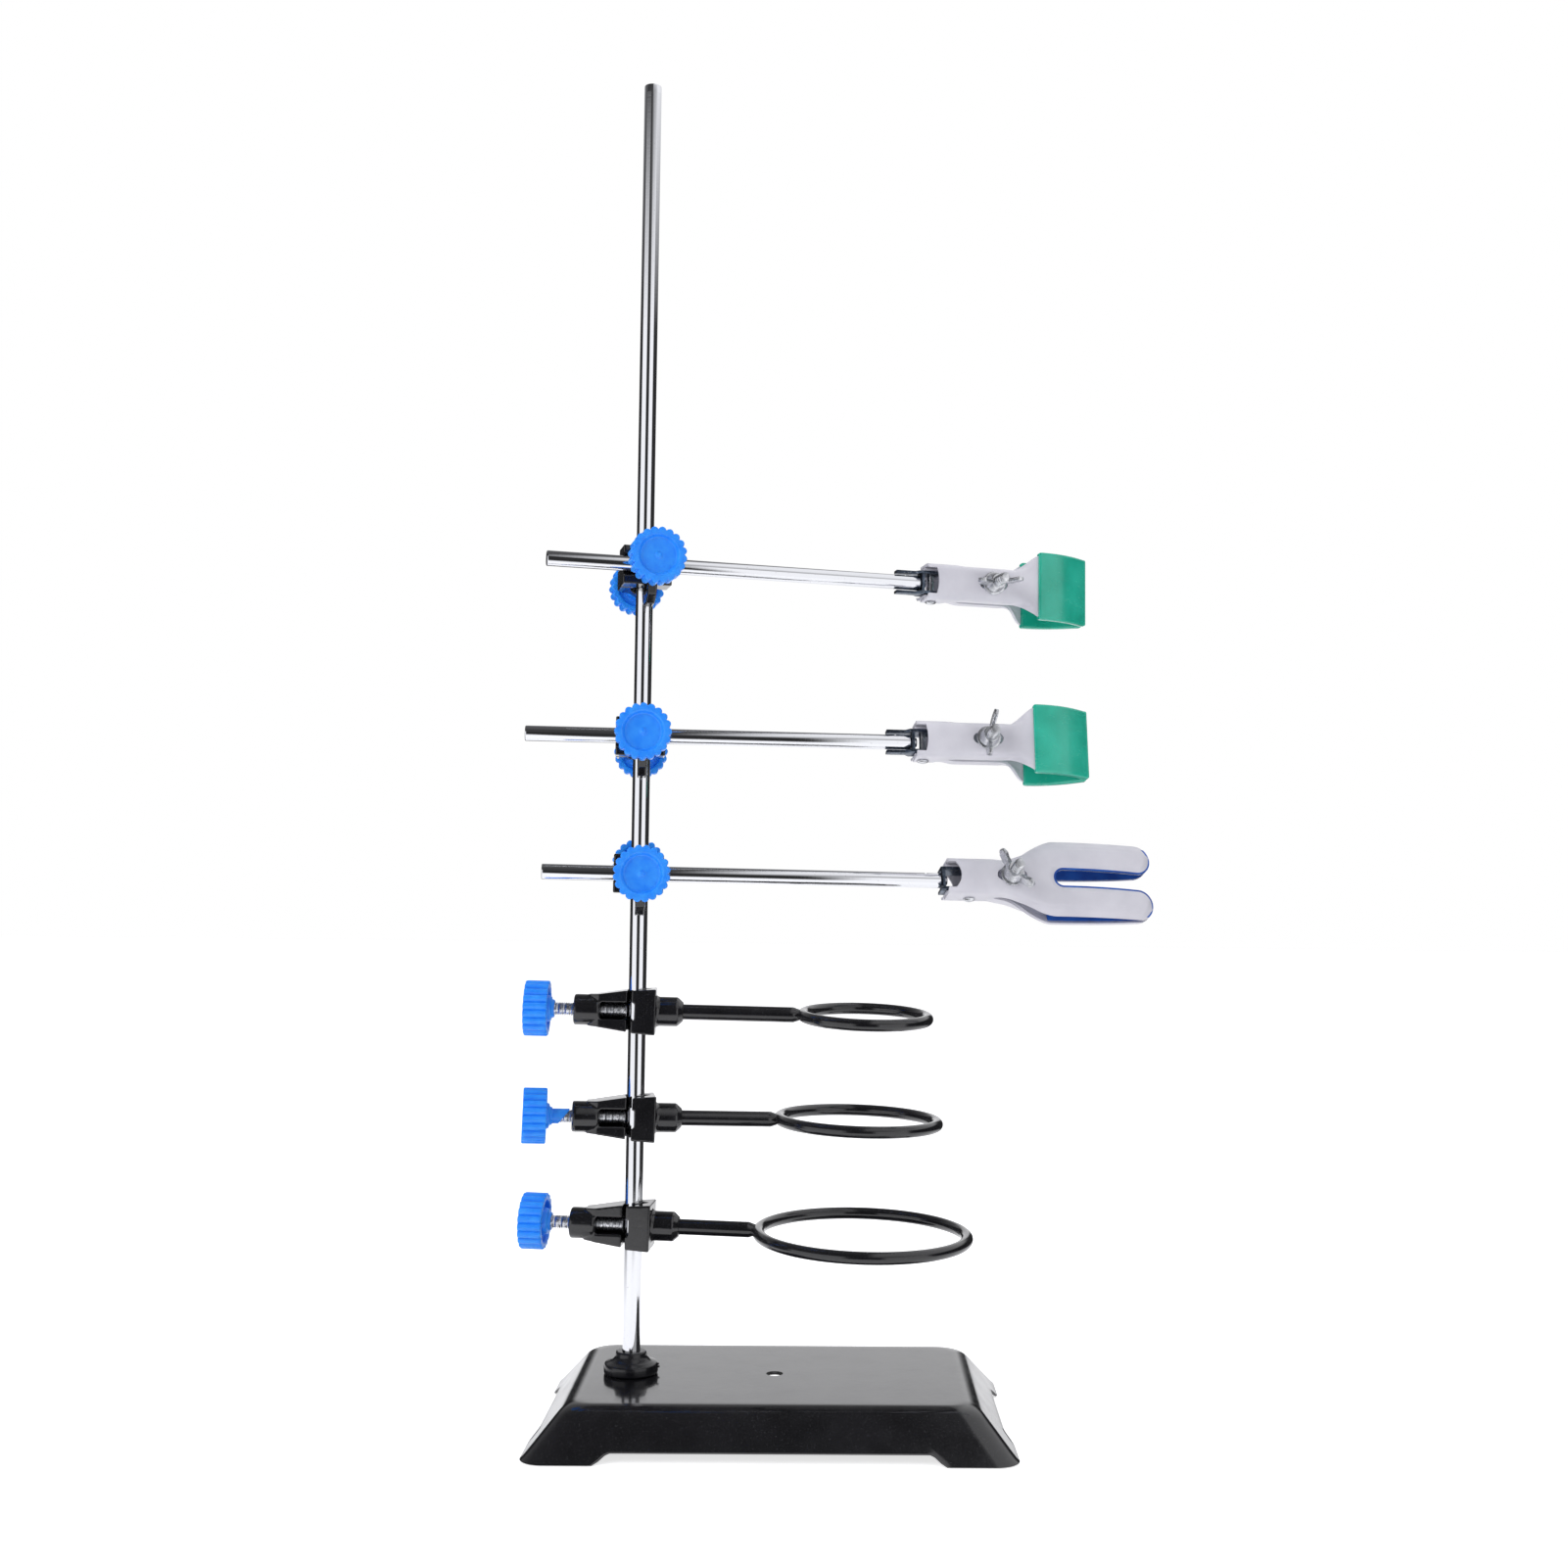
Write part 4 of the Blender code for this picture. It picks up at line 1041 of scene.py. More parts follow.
    def _collar(self) -> bpy.types.Mesh:
        """Return the moulded collar: a bell over a round flange, with two sprue stubs."""
        low = Rod.collar_bottom
        top = low + Rod.collar_height
        wide = Rod.collar_radius
        inner = Rod.radius + 0.15 * MM
        bell = [(inner, top), (6.9 * MM, top), (7.3 * MM, top - 2.4 * MM),
                (9.0 * MM, top - 4.3 * MM), (wide - 0.3 * MM, top - 5.2 * MM),
                (wide, top - 6.4 * MM), (wide, low), (inner, low)]
        body = Mesh.lathe(Mesh.rounded(bell, 0.9 * MM) + [bell[0]], 72)
        stubs = []
        for height, turn in ((4.2 * MM, -8.0), (2.2 * MM, 6.0)):
            stub = Mesh.bar(0.45 * MM, wide - 0.4 * MM, wide + 0.7 * MM, 0.2 * MM, 12)
            place = Matrix.Rotation(math.radians(turn), 4, "Z") @ shift(z=low + height) @ ALONG_X
            stubs.append(Mesh.moved(stub, place))
        return Mesh.joined(body, *stubs)


@dataclass
class ThumbBuilder:
    """Builds the blue knobs and their threaded screws."""

    shop: Workshop
    size: Thumb = Thumb()

    def __post_init__(self) -> None:
        """Make the knob once."""
        self.knob = self._knob()

    def _knob(self) -> bpy.types.Mesh:
        """Return the knob along +Z from its hub's end at the origin."""
        hub, crest, wide = self.size.hub, self.size.crest, self.size.radius
        face = hub + self.size.length
        deep = face - self.size.recess_depth
        front = [(0, deep + 0.95 * MM), (0.9 * MM, deep + 0.8 * MM), (1.7 * MM, deep),
                 (self.size.recess - 0.9 * MM, deep), (self.size.recess, face), (wide, face),
                 (wide, hub), (self.size.lobe_start, hub), (9.2 * MM, hub + 2.6 * MM),
                 (self.size.hub_radius + 0.9 * MM, hub + 2.6 * MM),
                 (self.size.hub_radius, hub * 0.55), (4.2 * MM, hub * 0.45),
                 (4.0 * MM, 0), (crest, 0), (crest - 0.05 * MM, 3 * MM), (0, 3 * MM)]
        profile = Mesh.rounded(front, 0.75 * MM, 4)
        body = Mesh.lathe(profile, self.size.lobes * 10)
        return self.shop.scallops.run(body, self.shop.palette.get(Finish.KNOB), {
            "Count": self.size.lobes, "Depth": self.size.lobe_depth,
            "Inner Radius": self.size.lobe_start, "Outer Radius": self.size.lobe_full})

    def _stubbed(self) -> bpy.types.Mesh:
        """Return a knob with a slanted stub of plastic left round its screw."""
        crest = self.size.crest
        wall = Mesh.tube(crest + 0.5 * MM, crest + 0.05 * MM, -7.6 * MM, 0.4 * MM)
        slant = Matrix.Rotation(math.radians(38), 4, "Y")
        cutter = Mesh.moved(Mesh.box((-12 * MM, -12 * MM, -20 * MM), (12 * MM, 12 * MM, 0)),
                            shift(z=-5.4 * MM) @ slant)
        return Mesh.joined(self.knob.copy(), Mesh.combined(wall, ("DIFFERENCE", cutter)))

    def build(self, prefix: str, carriage: Matrix, centre: Sequence[float], outward: Matrix,
              tip: float, face: float, turn: float) -> None:
        """Add a screw and its knob.

        Args:
            prefix: The start of both names.
            carriage: The carrier's matrix.
            centre: The screw axis's point nearest the rod or arm.
            outward: Turns +Z towards the knob.
            tip: Distance of the screw's end from centre.
            face: Distance of the knob's face from centre.
            turn: How far the knob is turned, in degrees.
        """
        place = carriage @ Matrix.Translation(Vector(centre)) @ outward
        seat = face - self.size.length - self.size.hub
        screw = self.shop.threaded(seat + self.size.grip - tip, self.size.crest, self.size.pitch)
        self.shop.add(f"{prefix}_screw", f"{prefix}_screw", screw, Finish.ZINC,
                      place @ shift(z=tip), 60)
        spin = Matrix.Rotation(math.radians(turn), 4, "Z")
        knob = self._stubbed() if prefix == "medium_ring" else self.knob
        self.shop.add(f"{prefix}_knob", f"{prefix}_knob", knob, Finish.KNOB,
                      place @ shift(z=seat) @ spin, 50)


@dataclass
class RingBuilder:
    """Builds the three ring supports."""

    shop: Workshop
    thumbs: ThumbBuilder
    foot: Matrix
    size: Support = Support()

    def __post_init__(self) -> None:
        """Make the boss once."""
        self.boss = self._boss()

    def build(self, spec: RingSpec) -> None:
        """Add one ring support."""
        carriage = carriage_place(self.foot, spec)
        body = f"{spec.name}_ring_support"
        self.shop.add(f"{spec.name}_ring_boss", body, self.boss, Finish.ENAMEL, carriage, 60)
        self.shop.add(f"{spec.name}_ring", body, self._ring(spec), Finish.ENAMEL, carriage, 60)
        face = Thumb.length / 2 + self.size.knob_centre
        self.thumbs.build(f"{spec.name}_ring", carriage, (0, 0, 0), ALONG_MINUS_X,
                          Rod.radius + 0.6 * MM, face, spec.turn)

    def _boss(self) -> bpy.types.Mesh:
        """Return the cast boss: threaded lug, slotted frame, grooved jaw and stem socket."""
        reach = Rod.radius + 0.5 * MM
        apex = reach * math.sqrt(2)
        back, front, spine = 9.8 * MM, -9 * MM, 5.6 * MM
        inner = -Rod.radius - 0.6 * MM
        end, jaw = self.size.lug_end, self.size.jaw_end
        plan = [(end - 4 * MM, -3 * MM), (end + 0.5 * MM, -5.6 * MM), (inner, -5.6 * MM),
                (inner, spine), (apex - spine, spine), (apex, 0), (apex + front, front),
                (jaw, front), (jaw, back), (end + 1 * MM, back - 2 * MM),
                (end - 4 * MM, 5 * MM)]
        side = [(-40 * MM, -6 * MM), (end, -7.4 * MM), (-4 * MM, -9.5 * MM),
                (20 * MM, -11.2 * MM), (20 * MM, 11.2 * MM), (-4 * MM, 9.5 * MM),
                (end, 7.4 * MM), (-40 * MM, 6 * MM)]
        lug = Mesh.moved(Mesh.bar(self.size.lug_radius, self.size.lug_start, end + 1 * MM, 1 * MM),
                         ALONG_X)
        blend = [(0, 18 * MM), (self.size.socket, 18 * MM), (self.size.socket, 10 * MM),
                 (self.size.socket + 1.6 * MM, 7 * MM), (0, 7 * MM)]
        neck = [(0, self.size.socket_end), (self.size.socket - 2.4 * MM, self.size.socket_end),
                (self.size.socket, self.size.socket_end - 2.6 * MM), (self.size.socket, 12 * MM),
                (0, 12 * MM)]
        slot = Mesh.box((end + 1.5 * MM, front - 1 * MM, -3.9 * MM), (-1 * MM, 3.4 * MM, 3.9 * MM))
        solid = Mesh.combined(
            Mesh.plate(plan, -12 * MM, 12 * MM),
            ("INTERSECT", Mesh.moved(Mesh.plate(side, -15 * MM, 15 * MM), UPRIGHT)),
            ("DIFFERENCE", slot), ("UNION", lug),
            ("UNION", Mesh.moved(Mesh.lathe(blend, 48), ALONG_X)),
            ("UNION", Mesh.moved(Mesh.lathe(neck, 48), ALONG_X)))
        skin = Mesh.cast(solid, 0.42 * MM, 3)
        bore = Mesh.bar(Thumb.crest + 0.15 * MM, self.size.lug_start - 2 * MM, -6 * MM, 0, 40)
        seat = Mesh.bar(self.size.stem + 0.1 * MM, self.size.socket_bottom, 30 * MM, 0, 40)
        return Mesh.combined(skin, ("DIFFERENCE", Mesh.moved(bore, ALONG_X)),
                             ("DIFFERENCE", Mesh.moved(seat, ALONG_X)))

    def _ring(self, spec: RingSpec) -> bpy.types.Mesh:
        """Return a wire ring, its stem and the weld between them."""
        major = spec.radius - self.size.wire
        rows = []
        for i in range(144):
            a = 2 * math.pi * i / 144
            middle = Vector((spec.centre + major * math.cos(a), major * math.sin(a), 0))
            out = Vector((math.cos(a), math.sin(a), 0))
            row = []
            for k in range(24):
                b = 2 * math.pi * k / 24
                row.append(middle + out * self.size.wire * math.cos(b)
                           + Vector((0, 0, self.size.wire * math.sin(b))))
            rows.append(row)
        ring = Mesh.of(Mesh.grid(rows, around=True, along=True))
        weld = spec.centre - spec.radius + self.size.wire * 0.9
        stem = Mesh.lathe([(0, weld), (1.9 * MM, weld), (2.6 * MM, weld - 1.6 * MM),
                           (self.size.stem, weld - 4.2 * MM), (self.size.stem, weld - 6 * MM),
                           (self.size.stem, self.size.socket_bottom + 0.3 * MM),
                           (0, self.size.socket_bottom + 0.3 * MM)], 40)
        turned = Matrix.Rotation(math.radians(spec.stem_turn), 4, "X")
        return Mesh.moved(Mesh.joined(ring, Mesh.moved(stem, ALONG_X)), turned)


@dataclass
class ClampBuilder:
    """Builds the three clamps: boss head, arm and gripping head."""

    shop: Workshop
    thumbs: ThumbBuilder
    foot: Matrix
    size: Boss = Boss()

    def build(self, spec: ClampSpec) -> None:
        """Add one clamp."""
        carriage = carriage_place(self.foot, spec)
        name = spec.name
        self.shop.add(f"{name}_boss", f"{name}_boss_head", self._boss(spec.drop),
                      Finish.ENAMEL, carriage, 60)
        self.thumbs.build(f"{name}_rod", carriage, (0, 0, spec.drop), ALONG_Y,
                          Rod.radius + 0.6 * MM, self.size.rear_face, spec.turn)
        self.thumbs.build(f"{name}_arm", carriage, (0, 0, 0), ALONG_MINUS_Y,
                          self.size.arm_radius + 0.3 * MM - self.size.arm_depth,
                          -self.size.front_face, spec.knob_turn)
        end = spec.start + spec.length
        self.shop.add(f"{name}_arm", f"{name}_arm_bar", self._arm(spec.start, end),
                      Finish.CHROME, carriage @ shift(y=self.size.arm_depth))
        hinge = shift(end + spec.web + Head.sheet / 2, self.size.arm_depth)
        head = carriage @ hinge @ Matrix.Rotation(math.radians(spec.roll), 4, "X")
        HeadBuilder(self.shop, spec, head).build()

    def _groove(self, reach: float, radius: float, depth: float) -> list[Point2]:
        """Return a flat-bottomed V that opens towards +Y, for a bar at the origin."""
        half = radius * math.tan(math.radians(22.5))
        spread = half + radius + depth
        return [(-half, -radius), (half, -radius), (spread, depth), (spread, reach),
                (-spread, reach), (-spread, depth)]

    def _boss(self, drop: float) -> bpy.types.Mesh:
        """Return the cast boss head: two crossed grooves, each faced by a hooked lug.

        Args:
            drop: How far the rod's screw sits above the arm.
        """
        half, high, depth = self.size.half_width, self.size.half_height, self.size.arm_depth
        block = Mesh.box((-half, depth, -high), (half - 1.5 * MM, 0, high))
        for_rod = Mesh.plate(self._groove(5 * MM, Rod.radius + 0.4 * MM, 1 * MM),
                             -20 * MM, 20 * MM)
        for_arm = Mesh.plate(self._groove(5 * MM, self.size.arm_radius + 0.3 * MM, 1 * MM),
                             -20 * MM, 20 * MM)
        Mesh.moved(for_arm, shift(y=depth) @ ALONG_X @ Matrix.Rotation(math.radians(180), 4, "Z"))
        front, inner = self.size.front
        hook = [(-5.2, -7), (-5.4, -12), (-8, -17), (-13, -19), (-20, -18.5), (-25, -15),
                (-27.8, -9), (-27.8, 3), (-21.5, 3), (-21.5, -8.5), (-19.5, -12.5),
                (-15.5, -13.6), (-11.5, -11.5), (-10, -7)]
        outline = [(y * MM, z * MM) for y, z in hook]
        front_hook = Mesh.moved(Mesh.plate(outline, -2 * MM, 2 * MM), EDGEWAYS)
        near, back = self.size.rear
        outer = half - 0.6 * MM
        bend = [(-6 * MM, -3 * MM), (-5.8 * MM, 5 * MM), (-4 * MM, near + 0.5 * MM),
                (2 * MM, near + 0.5 * MM), (2 * MM, back - 0.5 * MM), (-5 * MM, back - 0.5 * MM),
                (-9 * MM, 12.5 * MM), (-outer, 8.5 * MM), (-outer, -3 * MM)]
        rear_hook = Mesh.plate(bend, drop - 4.5 * MM, drop + 4.5 * MM)
        rear_axis = shift(z=drop) @ ALONG_Y
        solid = Mesh.combined(
            block, ("DIFFERENCE", for_rod), ("DIFFERENCE", for_arm), ("UNION", rear_hook),
            ("UNION", Mesh.moved(Mesh.bar(self.size.lug_radius, near, back), rear_axis)),
            ("UNION", front_hook),
            ("UNION", Mesh.moved(Mesh.bar(self.size.lug_radius, front, inner), ALONG_Y)))
        skin = Mesh.cast(solid, 0.45 * MM, 3)
        bore = Thumb.crest + 0.15 * MM
        return Mesh.combined(
            skin,
            ("DIFFERENCE", Mesh.moved(Mesh.bar(bore, front - MM, inner + MM, 0, 40), ALONG_Y)),
            ("DIFFERENCE", Mesh.moved(Mesh.bar(bore, near - MM, back + MM, 0, 40), rear_axis)))

    def _arm(self, start: float, end: float) -> bpy.types.Mesh:
        """Return the arm: a chromed bar with a peened spigot and a small stake mark."""
        neck = end - 0.3 * MM
        tail = end + Head.sheet + 1.3 * MM
        wide, thin = self.size.arm_radius, Head.spigot
        profile = Mesh.rounded(
            [(0, tail), (thin - 0.2 * MM, tail), (thin, tail - 0.7 * MM), (thin, neck),
             (wide, neck), (wide, start), (0, start)], 0.6 * MM, 3)
        bar = Mesh.moved(Mesh.lathe(profile, 64), ALONG_X)
        mark = Mesh.box((-0.5 * MM, -2 * MM, -0.5 * MM), (0.5 * MM, 2 * MM, 0.5 * MM))
        Mesh.moved(mark, shift(end - 7.5 * MM, -0.4 * MM, wide + 0.1 * MM)
                   @ Matrix.Rotation(math.radians(45), 4, "Y"))
        return Mesh.combined(bar, ("DIFFERENCE", mark))


@dataclass
class HeadBuilder:
    """Builds one clamp's gripping head, in the axes of its hinge pin."""

    shop: Workshop
    spec: ClampSpec
    head: Matrix
    size: Head = Head()

    def build(self) -> None:
        """Add the head's pieces."""
        name = self.spec.name
        self._add("yoke", "head", self._yoke(), Finish.DARK_ZINC)
        self._add("hinge_pin", "head", self._pin(), Finish.ZINC)
        for side, rear in (("front", False), ("rear", True)):
            body = f"{side}_jaw"
            self._add(f"{side}_jaw", body, self._jaw(rear), Finish.PAINT)
            if self.spec.forked:
                self._add(f"{side}_pad", body, self._lining(rear), Finish.LINING)
            else:
                self._add(f"{side}_pad", body, self._sleeve(rear), Finish.SLEEVE)
        seat = self._seat()
        at = shift(self.spec.bolt) @ ALONG_MINUS_Y
        self._add("bolt", "rear_jaw", self._bolt(seat), Finish.ZINC, at)
        face = seat + 1 * MM
        ring = Mesh.tube(self.size.washer, self.size.bolt + 0.3 * MM, seat, face)
        ring = Mesh.bevelled(ring, 0.2 * MM)
        self._add("washer", "washer", ring, Finish.ZINC, at)
        spin = Matrix.Rotation(math.radians(self.spec.turn), 4, "Z")
        self._add("wing_nut", "wing_nut", self._wing_nut(face + 0.3 * MM), Finish.ZINC, at @ spin)
        LOG.info("%s head done", name)

    def _add(self, part: str, body: str, mesh: bpy.types.Mesh, finish: Finish,
             place: Optional[Matrix] = None) -> None:
        """Add one of the head's pieces."""
        name = self.spec.name
        where = self.head if place is None else self.head @ place
        self.shop.add(f"{name}_{part}", f"{name}_{body}", mesh, finish, where, 45)

    # ------------------------------------------------------------ stamped jaws

    def _section(self, half: float, depth: float, edge: float, flat: float, count: int) -> Section:
        """Return a jaw's cross-section as (depth, height) points, from a channel to a plate.

        Args:
            half: Half the height.
            depth: How far the middle stands out.
            edge: How far the flanges run past the middle.
            flat: From 0, a channel, to 1, a plate.
            count: Number of points.
        """
        points = []
        corner = depth * 0.45
        for i in range(count):
            across = 2 * i / (count - 1) - 1
            side = 1 if across > 0 else -1
            if abs(across) > 0.7:
                share = (abs(across) - 0.7) / 0.3
                channel = (-corner + share * (edge + corner), side * half)
            else:
                turn = across / 0.7 * math.pi / 2
                rise = (depth - corner) * max(math.cos(turn), 0) ** 0.5
                height = half * abs(math.sin(turn)) ** 0.8
                channel = (-corner - rise, math.copysign(height, turn))
            panel = (-depth, half * across)
            points.append(tuple(a + flat * (b - a) for a, b in zip(channel, panel)))
        return points

    def _shank(self, x: float, rear: bool) -> float:
        """Return half the shank's height; the rear ears nest inside the front ones."""
        outside = self.size.rear_ear if rear else self.size.front_ear
        return outside + (self.size.shank_half - outside) * smooth(x, 9 * MM, 16 * MM)

    def _flange(self, x: float) -> float:
        """Return how far the flanges run past the middle."""
        return 3.2 * MM - 4.9 * MM * smooth(x, 5 * MM, 9 * MM)

    def _shape(self, x: float, rear: bool) -> tuple[float, float, float, float]:
        """Return the jaw's half height, depth, flange and flatness at a distance along it."""
        half = self._shank(x, rear)
        if self.spec.forked:
            flat = smooth(x, 16 * MM, 40 * MM)
            share = max((x - self.size.fork_root) / (self.size.fork_end - self.size.fork_root), 0)
            bow = 10 * MM - 6 * MM * share ** 2
            height = half + (self.size.fork_half - half) * smooth(x, 14 * MM, 40 * MM)
            depth = self.size.shank_depth + (bow - self.size.shank_depth) * flat
            return height, depth, self._flange(x), 0.75 * flat
        flat = smooth(x, 36 * MM, self.size.pad_start)
        share = (x - self.size.pad_start) / (self.size.pad_end - self.size.pad_start)
        share = min(max(share, 0), 1)
        bow = 12.6 * MM - 9.4 * MM * share ** 2.2
        flare = smooth(x, 37 * MM, self.size.pad_start + 1 * MM) ** 1.5
        height = half + (self.size.pad_half - half) * flare
        depth = self.size.shank_depth + (bow - self.size.shank_depth) * flat
        return height, depth, self._flange(x), flat

    def _emboss(self, x: float, z: float) -> float:
        """Return how far the pressed rib round a fork's slot and edge stands out."""
        if not self.spec.forked or x < 18 * MM:
            return 0.0
        if x > self.size.fork_root:
            slot = abs(z) - self.size.fork_gap
        else:
            slot = math.hypot(x - self.size.fork_root, z) - self.size.fork_gap
        tip = self.size.fork_end - self.size.prong
        middle = self.size.fork_gap + self.size.prong
        if x > tip:
            rim = self.size.prong - math.hypot(x - tip, abs(z) - middle)
        else:
            rim = self._shape(x, False)[0] - abs(z)
        near = min(slot, rim)
        rib = 0.3 * MM * smooth(near, 1 * MM, 3 * MM)
        curl = 1.9 * MM * (1 - smooth(near, -1 * MM, 4.6 * MM)) ** 1.2
        return (rib - curl) * smooth(x, 26 * MM, 36 * MM)

    def _sheet(self, stations: Sequence[float], shape: Callable, thickness: float, offset: float,
               rear: bool, count: int, inward: float = 0.0,
               relief: bool = False) -> bpy.types.Mesh:
        """Return a bent sheet lofted along +X.

        Args:
            stations: Distances along the jaw.
            shape: Gives the section's values at a distance.
            thickness: The sheet's thickness.
            offset: Where the sheet lies about its lofted face, from -1 to 1.
            rear: Whether to mirror it to the rear.
            count: Points across.
            inward: How far the face is first moved towards the middle.
            relief: Whether to raise the pressed rib.
        """
        rows = []
        for x in stations:
            row = []
            for y, z in self._section(*shape(x), count):
                lift = self._emboss(x, z) if relief else 0.0
                row.append(Vector((x, y - lift, z)))
            rows.append(row)
        bm = Mesh.grid(rows)
        bm.normal_update()
        if sum(face.normal.y for face in bm.faces) < 0:
            bmesh.ops.reverse_faces(bm, faces=bm.faces)
            bm.normal_update()
        normals = [vert.normal.copy() for vert in bm.verts]
        for vert, normal in zip(bm.verts, normals):
            vert.co += inward * normal
        if rear:
            bmesh.ops.scale(bm, vec=(1, -1, 1), verts=bm.verts)
            bmesh.ops.reverse_faces(bm, faces=bm.faces)
        mesh = bpy.data.meshes.new("sheet")
        bm.to_mesh(mesh)
        bm.free()
        obj = Mesh.holder(mesh)
        wall = obj.modifiers.new("Sheet", "SOLIDIFY")
        wall.thickness = thickness
        wall.offset = offset
        wall.use_even_offset = True
        return Mesh.applied(obj)

    def _spread(self, start: float, end: float, step: float) -> list[float]:
        """Return even distances from start to end."""
        count = max(int(round((end - start) / step)), 1)
        return [start + (end - start) * i / count for i in range(count + 1)]

    def _fork(self) -> list[Point2]:
        """Return the fork's front view, from its root to two round-ended prongs."""
        def arc(cx: float, cy: float, radius: float, start: float, end: float) -> list[Point2]:
            turns = [math.radians(start + (end - start) * i / 20) for i in range(21)]
            return [(cx + radius * math.cos(a), cy + radius * math.sin(a)) for a in turns]
        middle = self.size.fork_gap + self.size.prong
        tip = self.size.fork_end - self.size.prong
        far = self.size.fork_half + 8 * MM
        near, side = tip - 14 * MM, middle + self.size.prong
        outline = [(-30 * MM, -far), (near, -far), (near, -side)]
        outline += arc(tip, -middle, self.size.prong, -90, 90)
        outline += arc(self.size.fork_root, 0, self.size.fork_gap, 270, 90)
        outline += arc(tip, middle, self.size.prong, -90, 90)
        outline += [(near, side), (near, far), (-30 * MM, far)]
        return outline

    def _jaw(self, rear: bool) -> bpy.types.Mesh:
        """Return one stamped jaw with its hinge holes, bolt hole and, on a fork, its slot."""
        def shape(x: float) -> tuple[float, float, float, float]:
            return self._shape(x, rear)
        if self.spec.forked:
            stations = self._spread(-11 * MM, 88 * MM, 0.9 * MM)
            sheet = self._sheet(stations, shape, self.size.jaw, 1, rear, 61, relief=True)
            cutter = Mesh.moved(Mesh.plate(self._fork(), -40 * MM, 40 * MM), UPRIGHT)
            steps = [("INTERSECT", cutter)]
        else:
            stations = self._spread(-4 * MM, self.size.pad_end, 1.0 * MM)
            sheet = self._sheet(stations, shape, self.size.jaw, 1, rear, 45)
            steps = []
        steps.append(("DIFFERENCE", Mesh.bar(self.size.pin + 0.25 * MM, -12 * MM, 12 * MM, 0, 24)))
        steps.append(("DIFFERENCE", self._mouth(rear)))
        room = self.size.bolt + 0.25 * MM
        straight = 0 if rear else self.size.slot_half - room
        turns = [2 * math.pi * (i + 0.5) / 40 for i in range(40)]
        slot = [(room * math.cos(a) + math.copysign(straight, math.cos(a)), room * math.sin(a))
                for a in turns]
        hole = Mesh.plate(slot, -9 * MM, 9 * MM)
        side = 18 * MM if rear else -18 * MM
        steps.append(("DIFFERENCE", Mesh.moved(hole, shift(self.spec.bolt, side) @ ALONG_MINUS_Y)))
        return Mesh.bevelled(Mesh.combined(sheet, *steps), 0.3 * MM, 2, 50)

    def _mouth(self, rear: bool) -> bpy.types.Mesh:
        """Return the cutter for the opening between a jaw's two ears."""
        deep = 1 * MM if not self.spec.forked else -5 * MM
        bow = 2.5 * MM if self.spec.forked else 0.8 * MM
        high = 6.2 * MM if not rear else 5.2 * MM
        edge = [(deep - bow * (t / 8) ** 2, high * t / 8) for t in range(-8, 9)]
        outline = [(-30 * MM, -high), *edge, (-30 * MM, high)]
        cutter = Mesh.moved(Mesh.plate(outline, 3.2 * MM, 30 * MM), UPRIGHT)
        return Mesh.moved(cutter, Matrix.Scale(-1, 4, (0, 1, 0))) if rear else cutter

    def _sleeve(self, rear: bool) -> bpy.types.Mesh:
        """Return the soft sleeve over a condenser jaw's plate, rounded at its edges."""
        def skin(x: float) -> tuple[float, float, float, float]:
            near = min(max(x, self.size.pad_start), self.size.pad_end)
            height, depth, edge, _ = self._shape(near, rear)
            return height + self.size.skin, depth, edge, 1.0
        thick = self.size.jaw + 2 * self.size.skin
        stations = self._spread(self.size.pad_start, self.size.pad_end + self.size.skin, 1.3 * MM)
        slab = self._sheet(stations, skin, thick, self.size.jaw / thick, rear, 25)
        return Mesh.bevelled(slab, 1.2 * MM, 4, 50)

    def _lining(self, rear: bool) -> bpy.types.Mesh:
        """Return the soft lining inside a fork."""
        def inset(x: float) -> tuple[float, float, float, float]:
            height, depth, edge, flat = self._shape(x, rear)
            return height - 1.6 * MM, depth, edge, flat
        stations = self._spread(38 * MM, 88 * MM, 1.2 * MM)
        sheet = self._sheet(stations, inset, 1.6 * MM, 1, rear, 41, self.size.jaw + 0.1 * MM)
        cutter = Mesh.moved(Mesh.plate(self._fork(), -40 * MM, 40 * MM), UPRIGHT)
        return Mesh.bevelled(Mesh.combined(sheet, ("INTERSECT", cutter)), 0.35 * MM, 2, 50)

    def _seat(self) -> float:
        """Return how far from the middle the jaws' outsides stand where the bolt passes."""
        reach = (-self.size.washer, 0, self.size.washer)
        return max(self._shape(self.spec.bolt + x, False)[1] for x in reach) + 0.3 * MM

    # ------------------------------------------------------------ hardware

    def _yoke(self) -> bpy.types.Mesh:
        """Return the plated yoke: two strips over and under the arm, joined by a web."""
        web, reach = self.spec.web, self.spec.reach
        outer = self.size.inside + self.size.sheet
        end = 4.2 * MM
        lap = self.size.inside + self.size.sheet / 2
        half = self.size.sheet / 2
        wide, slim = self.size.half_depth, self.size.leg_half
        if reach < web + 4 * MM:
            strip = [(-reach, -wide), (end, -wide), (end, wide), (-reach, wide)]
        else:
            side = [(-reach, slim), (-web - 3.5 * MM, slim), (-web - 1.5 * MM, wide), (end, wide)]
            strip = [(x, -y) for x, y in side] + side[::-1]
        hole = Mesh.bar(self.size.spigot + 0.1 * MM, -web - 3 * MM, 3 * MM - web, 0, 32)
        solid = Mesh.combined(
            Mesh.plate(strip, self.size.inside, outer),
            ("UNION", Mesh.box((-web - half, 0.4 * MM - wide, -lap),
                               (half - web, wide - 0.4 * MM, lap))),
            ("UNION", Mesh.plate(strip, -outer, -self.size.inside)),
            ("DIFFERENCE", Mesh.bar(self.size.pin + 0.2 * MM, -10 * MM, 10 * MM, 0, 24)),
            ("DIFFERENCE", Mesh.moved(hole, ALONG_X)))
        return Mesh.bevelled(solid, 0.3 * MM, 3)

